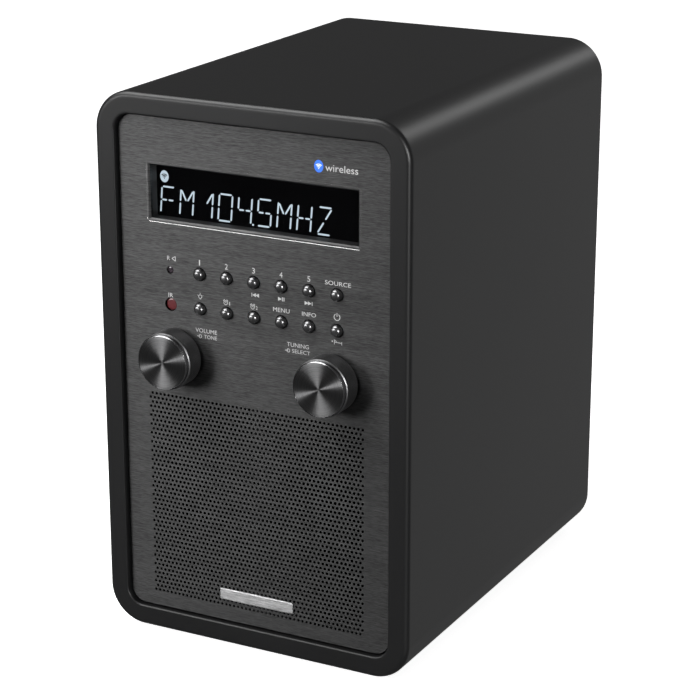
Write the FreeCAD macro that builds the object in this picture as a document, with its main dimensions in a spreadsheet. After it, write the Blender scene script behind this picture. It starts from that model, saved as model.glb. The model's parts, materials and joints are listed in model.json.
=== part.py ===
import FreeCAD, Part
import os

import Sketcher

# Tabletop radio. Millimetres, +Z up, front towards -Y. The origin is under the middle of the radio, at the
# feet. Depths called "deep" are counted backwards from the front face of the metal panel.

doc = FreeCAD.newDocument("TabletopRadio")
sheet = doc.addObject("Spreadsheet::Sheet", "Sizes")

vector = FreeCAD.Vector
alongY = FreeCAD.Rotation(vector(1, 0, 0), -90)

# alias, value, what it is
driving = (
    ("cabinetWidth", 118, "outside width of the wooden tube"),
    ("cabinetHeight", 192, "outside height of the tube"),
    ("cabinetDepth", 160, "front rim to rear rim"),
    ("cabinetCorner", 13.5, "outside corner radius"),
    ("cabinetWall", 7.5, "thickness of the tube's wall"),
    ("frontRimRound", 1.8, "rounding of the outer front edge"),
    ("innerRimRound", 0.5, "rounding of the inner front edge"),
    ("rearRimRound", 1.2, "rounding of the outer rear edge"),
    ("footLift", 1.5, "height of the feet under the tube"),
    ("footRadius", 6, "radius of a foot"),
    ("footInset", 20, "outside wall of the tube to a foot's axis"),
    ("footPegRadius", 2, "radius of the peg that holds a foot"),
    ("footPegDeep", 5, "length of that peg"),
    ("footPegFit", 0.05, "clearance round the peg"),
    ("panelRecess", 2.1, "front rim to panel face"),
    ("panelThick", 1.5, "thickness of the metal panel"),
    ("panelGap", 0.55, "gap between panel and tube"),
    ("baffleThick", 4, "thickness of the baffle behind the panel"),
    ("tubeFit", 0.25, "gap between tube and baffle or rear panel"),
    ("cleatWide", 9, "cleat size across the tube"),
    ("cleatDeep", 12, "cleat size along the tube"),
    ("cleatTall", 16, "cleat height"),
    ("cleatInset", 14, "inside of the tube's top or floor to a cleat"),
    ("windowWidth", 79.2, "display window in the panel"),
    ("windowHeight", 19.2, "display window in the panel"),
    ("windowDrop", 33.5, "top of the tube to the window's middle"),
    ("windowBevel", 0.5, "cut edge round the window"),
    ("lensDeep", 4.5, "panel face to display lens"),
    ("lensThick", 1, "thickness of the lens"),
    ("lensLap", 2, "how far the lens reaches past the window"),
    ("lensFit", 0.2, "gap round the lens"),
    ("lcdThick", 2.4, "thickness of the display glass"),
    ("backlightThick", 2.6, "thickness of the backlight"),
    ("keyFirst", -20.3, "middle of the first key column"),
    ("keyPitch", 10.36, "key column to key column"),
    ("keysInRow", 6, "keys in each of the two rows"),
    ("keyRowOne", 59.8, "top of the tube to the upper keys"),
    ("keyRowTwo", 71.9, "top of the tube to the lower keys"),
    ("keyRadius", 2.1, "radius of a key's dome and shank"),
    ("keyFit", 0.25, "gap round a key"),
    ("keyProud", 2, "how far a key stands out of the panel"),
    ("keyFlangeRadius", 3.2, "collar that keeps a key in"),
    ("keyFlangeThick", 1, "thickness of that collar"),
    ("keyFlangeGap", 0.1, "collar to baffle"),
    ("keyStemRadius", 1.2, "stem behind the collar"),
    ("keyStemGap", 1, "stem to switch"),
    ("switchSide", 6, "side of a key switch"),
    ("switchTall", 1.4, "height of a key switch"),
    ("lampColumn", -31.9, "middle of the lamp and infrared window"),
    ("lampRadius", 1.25, "radius of the status lamp"),
    ("lampSunk", 0.3, "panel face to the lamp's tip"),
    ("infraRadius", 2.2, "radius of the infrared window"),
    ("infraSunk", 0.6, "panel face to the infrared window"),
    ("infraFlangeRadius", 3.1, "collar of the infrared window"),
    ("infraFlangeThick", 1, "thickness of that collar"),
    ("infraFit", 0.1, "gap round the lamp and the infrared window"),
    ("receiverSide", 5.5, "side of the infrared receiver"),
    ("knobSide", 29.8, "middle of the panel to a knob's axis"),
    ("knobDrop", 89.6, "top of the tube to the knobs"),
    ("knobRadius", 10, "radius of a knob"),
    ("knobTall", 10, "panel face to knob face"),
    ("knobGap", 0.8, "panel face to the knob's skirt"),
    ("knobEdge", 0.4, "cut edge at the knob's face"),
    ("knobSkirt", 1.5, "thickness of the knob's skirt"),
    ("knobHollow", 3.7, "depth inside the skirt"),
    ("knobHubRadius", 5, "hub that stands round the shaft"),
    ("knobCapRadius", 9.1, "turned disc in the knob's face"),
    ("knobCapThick", 0.8, "thickness of that disc"),
    ("shaftRadius", 3, "radius of a knob's shaft"),
    ("shaftTip", 8, "panel face to the shaft's front end"),
    ("shaftFlat", 2.2, "axis to the flat on the shaft"),
    ("shaftFlatTall", 2.9, "length of that flat"),
    ("shaftEndGap", 0.7, "shaft to the floor of its housing"),
    ("shaftFit", 0.05, "running clearance of the shaft"),
    ("bushingRadius", 4.5, "outside of the threaded bushing"),
    ("bushingProud", 3.5, "how far the bushing stands out"),
    ("bushingFit", 0.2, "gap round the bushing"),
    ("nutFlats", 12, "width of a bushing nut across its flats"),
    ("nutThick", 2, "thickness of that nut"),
    ("encoderSide", 12.5, "side of an encoder housing"),
    ("encoderFront", 1, "front wall of the housing"),
    ("encoderRear", 0.7, "rear wall of the housing"),
    ("encoderBore", 5.6, "radius of the hollow in the housing"),
    ("rotorRadius", 5.2, "radius of the encoder's rotor"),
    ("rotorThick", 1.4, "thickness of the rotor"),
    ("rotorGap", 0.3, "rotor to the housing's front wall"),
    ("boardThick", 1.6, "thickness of a circuit board"),
    ("boardWidth", 84, "width of the circuit boards"),
    ("boardTopDrop", 19, "top of the tube to the front board"),
    ("boardLowDrop", 99.3, "top of the tube to the front board's foot"),
    ("pillarRadius", 2.5, "radius of a board pillar"),
    ("pillarBore", 1.25, "screw hole in a pillar"),
    ("pillarUpperSide", 38, "middle to the upper pillars"),
    ("pillarUpperDrop", 51.2, "top of the tube to the upper pillars"),
    ("pillarLowerSide", 39.2, "middle to the lower pillars"),
    ("pillarLowerDrop", 95, "top of the tube to the lower pillars"),
    ("boardScrewRadius", 1.2, "shank of a board screw"),
    ("boardScrewHead", 2.2, "head of a board screw"),
    ("boardScrewHeadTall", 1.5, "height of that head"),
    ("boardScrewLong", 4.5, "shank length of a board screw"),
    ("grilleColumns", 52, "holes in a row of the grille"),
    ("grilleBands", 23, "pairs of rows in the grille"),
    ("grillePitch", 1.592, "hole to hole along a row"),
    ("grilleRowPitch", 1.632, "row to row"),
    ("grilleHole", 0.48, "radius of a grille hole"),
    ("grilleDrop", 141.4, "top of the tube to the grille's middle"),
    ("clothMargin", 2, "cloth beyond the perforated field"),
    ("clothThick", 0.5, "thickness of the cloth"),
    ("clothFit", 0.1, "room round the cloth in its rebate"),
    ("badgeWidth", 29, "plain bar low on the grille"),
    ("badgeHeight", 4.2, "height of that bar"),
    ("badgeThick", 0.5, "thickness of that bar"),
    ("badgeRounding", 6, "height of that bar over its corner radius"),
    ("badgeDrop", 174.1, "top of the tube to the bar"),
    ("speakerRadius", 39, "flange of the loudspeaker"),
    ("speakerMouth", 32.6, "opening inside the flange"),
    ("speakerFlange", 1.5, "thickness of the flange"),
    ("basketFloor", 16.5, "baffle to the basket's floor"),
    ("basketFloorThick", 1.5, "thickness of that floor"),
    ("basketFloorRadius", 23, "radius of that floor"),
    ("basketFloorBore", 12, "hole in that floor"),
    ("basketWall", 1.8, "wall of the basket across its radius"),
    ("basketWindow", 3.2, "radius of the basket's windows"),
    ("basketWindowCircle", 28.2, "axis to those windows"),
    ("basketWindows", 6, "how many windows"),
    ("screwCircle", 36.9, "axis to the loudspeaker's screws"),
    ("speakerScrewRadius", 1.2, "shank of a loudspeaker screw"),
    ("speakerScrewHead", 1.9, "head of a loudspeaker screw"),
    ("speakerScrewLong", 2.6, "shank in the baffle"),
    ("baffleMouth", 33.2, "speaker opening in the baffle"),
    ("coneRadius", 29.4, "outer edge of the cone"),
    ("coneLip", 1.5, "flat lip round the cone"),
    ("coneFront", 0.9, "baffle to the cone's lip"),
    ("conePaper", 0.45, "thickness of the cone"),
    ("coneThroat", 10.9, "baffle to the cone's throat"),
    ("coilRadius", 10.1, "outside of the voice coil"),
    ("coilWall", 0.4, "thickness of the voice coil"),
    ("coilEnd", 20.5, "baffle to the coil's end"),
    ("capRadius", 12, "radius of the dust cap"),
    ("capRise", 2.6, "height of the dust cap"),
    ("capSkin", 0.4, "thickness of the dust cap"),
    ("capGap", 0.1, "dust cap to cone, for the glue"),
    ("rollHeight", 1.8, "height of the roll round the cone"),
    ("rollSkin", 0.5, "thickness of the roll"),
    ("rollFoot", 1.2, "depth of the roll's foot"),
    ("spiderHigh", 13, "baffle to the spider"),
    ("spiderSkin", 0.5, "thickness of the spider"),
    ("spiderFoot", 1.5, "width of the spider's foot"),
    ("spiderRadius", 20.5, "radius of the spider"),
    ("coilFit", 0.35, "gap round the coil"),
    ("topPlateRadius", 21, "front pole plate"),
    ("topPlateThick", 3, "thickness of that plate"),
    ("magnetRadius", 22.5, "radius of the magnet"),
    ("magnetBore", 13, "hole in the magnet"),
    ("magnetThick", 9, "thickness of the magnet"),
    ("yokeRadius", 20.5, "radius of the rear pole plate"),
    ("yokeThick", 3, "thickness of that plate"),
    ("poleRelief", 0.5, "top plate to the pole's end"),
    ("screwRadius", 1.5, "shank of a cabinet screw"),
    ("screwFit", 0.1, "clearance round the shank"),
    ("screwHead", 3, "head of a cabinet screw"),
    ("screwHeadTall", 2, "height of that head"),
    ("screwBite", 2.5, "shank beyond the cleat, in the baffle"),
    ("crossLong", 3.6, "cross recess in a rear screw, end to end"),
    ("crossWide", 0.75, "width of its slots"),
    ("crossDeep", 1, "depth of its slots"),
    ("rearRecess", 3, "rear rim to rear panel"),
    ("rearThick", 3, "thickness of the rear panel"),
    ("rearStandOff", 11, "rear panel to main board"),
    ("mainBoardHeight", 56, "height of the main board"),
    ("mainBoardDrop", 138.7, "top of the tube to the main board's middle"),
    ("mainPillarSide", 37, "middle to the main board's pillars"),
    ("mainPillarRise", 23, "main board's middle to its pillars"),
    ("socketDrop", 148.7, "top of the tube to the row of sockets"),
    ("auxSide", -22, "middle to the line input"),
    ("phonesSide", -4, "middle to the headphone output"),
    ("jackBody", 8, "side of a jack's body"),
    ("jackRadius", 3, "barrel of a jack"),
    ("jackProud", 0.8, "barrel beyond the rear panel"),
    ("jackBore", 1.8, "bore of a jack"),
    ("jackBoreDeep", 13, "depth of that bore"),
    ("inletSide", 20, "middle to the power inlet"),
    ("inletBody", 9.5, "side of the inlet's body"),
    ("inletRadius", 4.4, "barrel of the inlet"),
    ("inletProud", 0.8, "barrel beyond the rear panel"),
    ("inletBore", 2.9, "bore of the inlet"),
    ("inletBoreDeep", 9.5, "depth of that bore"),
    ("inletPin", 1, "radius of the centre pin"),
    ("inletPinSunk", 1.5, "mouth of the inlet to the pin's end"),
    ("aerialDrop", 48, "top of the tube to the aerial socket"),
    ("aerialRadius", 4.7, "barrel of the aerial socket"),
    ("aerialNeck", 5.4, "neck of the aerial socket in the rear panel"),
    ("aerialProud", 9, "barrel beyond the rear panel"),
    ("aerialFlats", 12, "hex collar of the aerial socket"),
    ("aerialCollar", 2, "thickness of that collar"),
    ("aerialBore", 0.8, "centre hole of the aerial socket"),
    ("aerialBoreDeep", 7, "depth of that hole"),
    ("socketFit", 0.1, "clearance round a barrel in the rear panel"),
)

for row, (alias, number, note) in enumerate(driving, start=1):
    sheet.set("A%d" % row, alias)
    sheet.set("B%d" % row, str(number))
    sheet.set("C%d" % row, note)
    sheet.setAlias("B%d" % row, alias)
doc.recompute()


# A length that is both a number and the sheet expression that gives it.
class Size:
    def __init__(self, value, text):
        self.value = value
        self.text = text

    def join(self, other, sign, value):
        return Size(value, "(%s %s %s)" % (self.text, sign, other.text))

    def __add__(self, other):
        other = size(other)
        return self.join(other, "+", self.value + other.value)

    def __sub__(self, other):
        other = size(other)
        return self.join(other, "-", self.value - other.value)

    def __mul__(self, other):
        other = size(other)
        return self.join(other, "*", self.value * other.value)

    def __truediv__(self, other):
        other = size(other)
        return self.join(other, "/", self.value / other.value)

    def __radd__(self, other):
        return size(other) + self

    def __rsub__(self, other):
        return size(other) - self

    def __rmul__(self, other):
        return size(other) * self

    def __neg__(self):
        return size(0) - self


def size(number):
    return number if isinstance(number, Size) else Size(float(number), repr(float(number)))


def cell(alias):
    return Size(float(sheet.get(alias)), "Sizes.%s" % alias)


s = {alias: cell(alias) for alias, number, note in driving}

# Places that many pieces share.
knobOut = s["knobTall"] - s["panelRecess"]
rearOut = s["aerialProud"] - s["rearRecess"]
frontRim = (knobOut - rearOut - s["cabinetDepth"]) / 2
rearRim = frontRim + s["cabinetDepth"]
panelFace = frontRim + s["panelRecess"]
baffleFront = panelFace + s["panelThick"]
baffleRear = baffleFront + s["baffleThick"]
lcdFront = panelFace + s["lensDeep"] + s["lensThick"]
boardFront = lcdFront + s["lcdThick"] + s["backlightThick"]
boardRear = boardFront + s["boardThick"]
rearOutside = rearRim - s["rearRecess"]
rearInside = rearOutside - s["rearThick"]
mainBoardRear = rearInside - s["rearStandOff"]
cabinetTop = s["footLift"] + s["cabinetHeight"]
cabinetMiddle = s["footLift"] + s["cabinetHeight"] / 2
insideWidth = s["cabinetWidth"] - 2 * s["cabinetWall"]
insideHeight = s["cabinetHeight"] - 2 * s["cabinetWall"]
insideCorner = s["cabinetCorner"] - s["cabinetWall"]
windowMiddle = cabinetTop - s["windowDrop"]
speakerMiddle = cabinetTop - s["grilleDrop"]
socketMiddle = cabinetTop - s["socketDrop"]
keysInRow = int(s["keysInRow"].value)
keyColumns = [s["keyFirst"] + number * s["keyPitch"] for number in range(keysInRow)]
upperKeys = cabinetTop - s["keyRowOne"]
lowerKeys = cabinetTop - s["keyRowTwo"]
knobHeight = cabinetTop - s["knobDrop"]
knobColumns = {"volume": -s["knobSide"], "tuning": s["knobSide"]}
keys = {
    "button_1": (keyColumns[0], upperKeys),
    "button_2": (keyColumns[1], upperKeys),
    "button_3": (keyColumns[2], upperKeys),
    "button_4": (keyColumns[3], upperKeys),
    "button_5": (keyColumns[4], upperKeys),
    "button_source": (keyColumns[5], upperKeys),
    "button_light": (keyColumns[0], lowerKeys),
    "button_alarm_1": (keyColumns[1], lowerKeys),
    "button_alarm_2": (keyColumns[2], lowerKeys),
    "button_menu": (keyColumns[3], lowerKeys),
    "button_info": (keyColumns[4], lowerKeys),
    "button_power": (keyColumns[5], lowerKeys),
}
pillars = [(side * s["pillarUpperSide"], cabinetTop - s["pillarUpperDrop"]) for side in (-1, 1)]
pillars += [(side * s["pillarLowerSide"], cabinetTop - s["pillarLowerDrop"]) for side in (-1, 1)]
# every second row stands half a pitch aside, and half a pitch of plain metal frames the field
fieldWidth = (s["grilleColumns"] + 1) * s["grillePitch"] + s["grillePitch"] / 2
fieldHeight = 2 * s["grilleBands"] * s["grilleRowPitch"]
clothWidth = fieldWidth + 2 * s["clothMargin"]
clothHeight = fieldHeight + 2 * s["clothMargin"]
mainBoardMiddle = cabinetTop - s["mainBoardDrop"]
mainPillars = [
    (side * s["mainPillarSide"], mainBoardMiddle + rise * s["mainPillarRise"])
    for side in (-1, 1)
    for rise in (-1, 1)
]
diagonal = 0.5**0.5
speakerScrews = [
    (side * diagonal * s["screwCircle"], speakerMiddle + rise * diagonal * s["screwCircle"])
    for side in (-1, 1)
    for rise in (-1, 1)
]
cleatSide = insideWidth / 2 - s["cleatWide"]
cleatRise = insideHeight / 2 - s["cleatInset"] - s["cleatTall"] / 2
cleatScrews = [
    (side * (cleatSide + s["cleatWide"] / 2), cabinetMiddle + rise * cleatRise)
    for side in (-1, 1)
    for rise in (-1, 1)
]

nodes = {}


def bind(thing, prop, length):
    thing.setExpression(prop, size(length).text)


def place(thing, x=0, y=0, z=0):
    for axis, length in zip("xyz", (x, y, z)):
        bind(thing, "Placement.Base.%s" % axis, length)
    return thing


def keep(label, thing):
    thing.Label = label
    nodes[label] = thing
    return thing


# Part primitives, all with their axis or thickness along Y.
def box(name, width, depth, height, x, y, z):
    # centred on x and z, front face at y
    thing = doc.addObject("Part::Box", name)
    bind(thing, "Length", width)
    bind(thing, "Width", depth)
    bind(thing, "Height", height)
    return place(thing, x - size(width) / 2, y, z - size(height) / 2)


def rod(name, radius, length, x, y, z):
    thing = doc.addObject("Part::Cylinder", name)
    thing.Placement.Rotation = alongY
    bind(thing, "Radius", radius)
    bind(thing, "Height", length)
    return place(thing, x, y, z)


def hexagon(name, flats, length, x, y, z):
    thing = doc.addObject("Part::Prism", name)
    thing.Polygon = 6
    thing.Placement.Rotation = alongY
    thing.setExpression("Circumradius", "%s / 2 / cos(30 deg)" % flats.text)
    bind(thing, "Height", length)
    return place(thing, x, y, z)


def ball(name, radius, x, y, z):
    thing = doc.addObject("Part::Sphere", name)
    bind(thing, "Radius", radius)
    return place(thing, x, y, z)


def fuse(name, shapes):
    thing = doc.addObject("Part::MultiFuse", name)
    thing.Shapes = shapes
    return thing


def cut(name, base, tool):
    thing = doc.addObject("Part::Cut", name)
    thing.Base = base
    thing.Tool = tool
    return thing


def group(name, shapes):
    thing = doc.addObject("Part::Compound", name)
    thing.Links = shapes
    return thing


# PartDesign bodies.
def newBody(label, x=0, y=0, z=0):
    body = doc.addObject("PartDesign::Body", label)
    place(body, x, y, z)
    return keep(label, body)


def newSketch(body, role):
    plane = next(item for item in body.Origin.OriginFeatures if item.Role == role)
    sketch = body.newObject("Sketcher::SketchObject", body.Name + "Sketch")
    sketch.AttachmentSupport = [(plane, "")]
    sketch.MapMode = "FlatFace"
    return sketch


def hold(sketch, kind, places, length):
    length = size(length)
    index = sketch.addConstraint(Sketcher.Constraint(kind, *places, length.value))
    sketch.setExpression("Constraints[%d]" % index, length.text)


def drawRounded(sketch, width, height, corner, x=0, z=0):
    # a rectangle with round corners: four lines, then four arcs, anticlockwise from the foot
    right = x + size(width) / 2
    left = x - size(width) / 2
    top = z + size(height) / 2
    foot = z - size(height) / 2
    corner = size(corner)
    r = corner.value
    ends = (
        ((left.value + r, foot.value), (right.value - r, foot.value)),
        ((right.value, foot.value + r), (right.value, top.value - r)),
        ((right.value - r, top.value), (left.value + r, top.value)),
        ((left.value, top.value - r), (left.value, foot.value + r)),
    )
    middles = (
        (right.value - r, foot.value + r),
        (right.value - r, top.value - r),
        (left.value + r, top.value - r),
        (left.value + r, foot.value + r),
    )
    first = sketch.GeometryCount
    for start, end in ends:
        sketch.addGeometry(Part.LineSegment(vector(*start, 0), vector(*end, 0)), False)
    quarter = FreeCAD.Units.Quantity("90 deg").getValueAs("rad").Value
    for number, middle in enumerate(middles):
        circle = Part.Circle(vector(*middle, 0), vector(0, 0, 1), r)
        start = (number - 1) * quarter
        sketch.addGeometry(Part.ArcOfCircle(circle, start, start + quarter), False)
    for number in range(4):
        line = first + number
        arc = first + 4 + number
        following = first + (number + 1) % 4
        sketch.addConstraint(Sketcher.Constraint("Tangent", line, 2, arc, 1))
        sketch.addConstraint(Sketcher.Constraint("Tangent", arc, 2, following, 1))
        if number:
            sketch.addConstraint(Sketcher.Constraint("Equal", first + 4, arc))
    for line, kind in zip(range(4), ("Horizontal", "Vertical", "Horizontal", "Vertical")):
        sketch.addConstraint(Sketcher.Constraint(kind, first + line))
    hold(sketch, "Radius", (first + 4,), corner)
    hold(sketch, "DistanceX", (-1, 1, first + 1, 1), right)
    hold(sketch, "DistanceX", (-1, 1, first + 3, 1), left)
    hold(sketch, "DistanceY", (-1, 1, first + 2, 1), top)
    hold(sketch, "DistanceY", (-1, 1, first, 1), foot)


def drawCircles(sketch, circles):
    # each circle is x, z, radius
    for x, z, radius in circles:
        middle = vector(size(x).value, size(z).value, 0)
        index = sketch.addGeometry(Part.Circle(middle, vector(0, 0, 1), size(radius).value), False)
        for kind, length, axis in (("DistanceX", x, -2), ("DistanceY", z, -1)):
            if size(length).value == 0:
                sketch.addConstraint(Sketcher.Constraint("PointOnObject", index, 3, axis))
            else:
                hold(sketch, kind, (-1, 1, index, 3), length)
        hold(sketch, "Radius", (index,), radius)


def drawOutline(sketch, points):
    # a closed outline of straight lines; each point is its distance from the two axes
    count = len(points)
    values = [vector(size(x).value, size(y).value, 0) for x, y in points]
    for index in range(count):
        sketch.addGeometry(Part.LineSegment(values[index], values[(index + 1) % count]), False)
    for index in range(count):
        sketch.addConstraint(Sketcher.Constraint("Coincident", index, 2, (index + 1) % count, 1))
    for index, (x, y) in enumerate(points):
        for kind, length, axis in (("DistanceX", x, -2), ("DistanceY", y, -1)):
            if size(length).value == 0:
                sketch.addConstraint(Sketcher.Constraint("PointOnObject", index, 1, axis))
            else:
                hold(sketch, kind, (-1, 1, index, 1), length)


def pad(body, sketch, length):
    feature = body.newObject("PartDesign::Pad", body.Name + "Pad")
    feature.Profile = sketch
    bind(feature, "Length", length)
    feature.Reversed = True
    return feature


def pocket(body, sketch, length=None):
    feature = body.newObject("PartDesign::Pocket", body.Name + "Pocket")
    feature.Profile = sketch
    feature.Reversed = False
    if length is None:
        feature.Type = "ThroughAll"
    else:
        bind(feature, "Length", length)
    return feature


def plate(label, width, height, corner, thick, y, z, x=0):
    body = newBody(label, x, y, z)
    sketch = newSketch(body, "XZ_Plane")
    drawRounded(sketch, width, height, corner)
    pad(body, sketch, thick)
    return body


def pierce(body, circles, depth=None, start=0):
    sketch = newSketch(body, "XZ_Plane")
    bind(sketch, "AttachmentOffset.Base.z", -size(start))
    drawCircles(sketch, circles)
    return pocket(body, sketch, depth)


def pierceRounded(body, width, height, corner, x, z, depth=None, start=0):
    sketch = newSketch(body, "XZ_Plane")
    bind(sketch, "AttachmentOffset.Base.z", -size(start))
    drawRounded(sketch, width, height, corner, x, z)
    return pocket(body, sketch, depth)


def turned(label, outline, x, y, z):
    # outline points are radius and distance along Y
    body = newBody(label, x, y, z)
    sketch = newSketch(body, "XY_Plane")
    drawOutline(sketch, outline)
    feature = body.newObject("PartDesign::Revolution", body.Name + "Turn")
    feature.Profile = sketch
    feature.ReferenceAxis = (sketch, ["V_Axis"])
    feature.Angle = 360
    return body


def edgesNear(feature, test):
    shape = feature.Shape
    return ["Edge%d" % (index + 1) for index, edge in enumerate(shape.Edges) if test(edge.BoundBox)]


def roundEdges(body, feature, names, radius):
    fillet = body.newObject("PartDesign::Fillet", body.Name + "Round")
    fillet.Base = (feature, names)
    bind(fillet, "Radius", radius)
    doc.recompute()
    return fillet


def onPlane(box, y):
    return abs(box.YMin - y) < 0.001 and abs(box.YMax - y) < 0.001


def outerLoop(y, limit):
    # edges on the plane y whose middle lies further out than the limit box
    def test(box):
        outside = abs(box.Center.x) > limit[0] or abs(box.Center.z) > limit[1]
        return onPlane(box, y) and outside

    return test


def innerEdge(limit):
    def test(box):
        inside = abs(box.Center.x) < limit[0] and abs(box.Center.z) < limit[1]
        return onPlane(box, 0) and inside

    return test


# The cabinet: one wooden tube, with four peg holes in its floor.
def makeCabinet():
    body = newBody("cabinet", 0, frontRim, cabinetMiddle)
    outline = newSketch(body, "XZ_Plane")
    drawRounded(outline, s["cabinetWidth"], s["cabinetHeight"], s["cabinetCorner"])
    pad(body, outline, s["cabinetDepth"])
    bore = newSketch(body, "XZ_Plane")
    drawRounded(bore, insideWidth, insideHeight, insideCorner)
    pocket(body, bore)
    doc.recompute()
    limitX = (insideWidth + s["cabinetWall"]) / 2
    limitZ = (insideHeight + s["cabinetWall"]) / 2
    limit = (limitX.value, limitZ.value)
    outer = edgesNear(body.Tip, outerLoop(0, limit))
    roundEdges(body, body.Tip, outer, s["frontRimRound"])
    inner = edgesNear(body.Tip, innerEdge(limit))
    roundEdges(body, body.Tip, inner, s["innerRimRound"])
    rear = edgesNear(body.Tip, outerLoop(s["cabinetDepth"].value, limit))
    roundEdges(body, body.Tip, rear, s["rearRimRound"])
    pegs = newSketch(body, "XY_Plane")
    bind(pegs, "AttachmentOffset.Base.z", -s["cabinetHeight"] / 2)
    radius = s["footPegRadius"] + s["footPegFit"]
    side = s["cabinetWidth"] / 2 - s["footInset"]
    far = s["cabinetDepth"] - s["footInset"]
    drawCircles(pegs, [(x, y, radius) for x in (-side, side) for y in (s["footInset"], far)])
    holes = pocket(body, pegs, s["footPegDeep"] + s["footPegFit"])
    holes.Reversed = True


def makeFeet():
    side = s["cabinetWidth"] / 2 - s["footInset"]
    feet = []
    for x in (-side, side):
        for y in (frontRim + s["footInset"], rearRim - s["footInset"]):
            sole = doc.addObject("Part::Cylinder", "FootPad")
            bind(sole, "Radius", s["footRadius"])
            bind(sole, "Height", s["footLift"])
            place(sole, x, y, 0)
            peg = doc.addObject("Part::Cylinder", "FootPeg")
            bind(peg, "Radius", s["footPegRadius"])
            bind(peg, "Height", s["footLift"] + s["footPegDeep"])
            place(peg, x, y, 0)
            feet.append(fuse("Foot", [sole, peg]))
    keep("feet", group("Feet", feet))


def makeCleats():
    blocks = []
    for x, z in cleatScrews:
        for y in (baffleRear, rearInside - s["cleatDeep"]):
            block = box("CleatBlock", s["cleatWide"], s["cleatDeep"], s["cleatTall"], x, y, z)
            hole = rod("CleatHole", s["screwRadius"] + s["screwFit"], s["cleatDeep"], x, y, z)
            blocks.append(cut("Cleat", block, hole))
    keep("cabinet_cleats", group("Cleats", blocks))


def makeCabinetScrews():
    front = []
    rear = []
    for x, z in cleatScrews:
        seat = baffleRear + s["cleatDeep"]
        head = rod("ScrewHead", s["screwHead"], s["screwHeadTall"], x, seat, z)
        length = s["cleatDeep"] + s["screwBite"]
        shank = rod("ScrewShank", s["screwRadius"], length, x, seat - length, z)
        front.append(fuse("BaffleScrew", [head, shank]))
        head = rod("ScrewHead", s["screwHead"], s["screwHeadTall"], x, rearOutside, z)
        length = s["rearThick"] + s["cleatDeep"] / 2
        shank = rod("ScrewShank", s["screwRadius"], length, x, rearOutside - length, z)
        slot = cross(x, rearOutside + s["screwHeadTall"], z)
        rear.append(cut("RearScrew", fuse("RearScrewBlank", [head, shank]), slot))
    keep("baffle_screws", group("BaffleScrews", front))
    keep("rear_screws", group("RearScrews", rear))


def cross(x, y, z):
    # cross recess in a screw head whose top is at y
    deep = s["crossDeep"]
    bars = [
        box("CrossBar", wide, deep, tall, x, y - deep, z)
        for wide, tall in ((s["crossLong"], s["crossWide"]), (s["crossWide"], s["crossLong"]))
    ]
    return fuse("Cross", bars)


# The metal panel: one sheet with its window, key and knob holes, and the perforated field.
def roundedFace(width, height, corner, x, z):
    block = Part.makeBox(width, 1, height, vector(x - width / 2, 0, z - height / 2))
    upright = [edge for edge in block.Edges if edge.BoundBox.YLength > 0.5]
    rounded = block.makeFillet(corner, upright) if corner else block
    return next(face for face in rounded.Faces if abs(face.BoundBox.YMax) < 0.001)


def perforatedBand(width, low, high, centres, radius, thick):
    side = width / 2
    corners = [(-side, low), (side, low), (side, high), (-side, high), (-side, low)]
    outer = Part.makePolygon([vector(x, 0, z) for x, z in corners])
    wires = [outer]
    for x, z in centres:
        wire = Part.Wire(Part.makeCircle(radius, vector(x, 0, z), vector(0, -1, 0)))
        wire.reverse()
        wires.append(wire)
    return Part.Face(wires).extrude(vector(0, thick, 0))


def perforatedField(middle, thick):
    pitch = s["grillePitch"].value
    rowPitch = s["grilleRowPitch"].value
    columns = int(s["grilleColumns"].value)
    bands = int(s["grilleBands"].value)
    width = fieldWidth.value
    height = fieldHeight.value
    left = -(columns - 0.5) * pitch / 2
    pieces = []
    for band in range(bands):
        low = middle - height / 2 + 2 * band * rowPitch
        centres = [
            (left + column * pitch + row * pitch / 2, low + (row + 0.5) * rowPitch)
            for row in range(2)
            for column in range(columns)
        ]
        high = low + 2 * rowPitch
        pieces.append(perforatedBand(width, low, high, centres, s["grilleHole"].value, thick))
    return pieces


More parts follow.
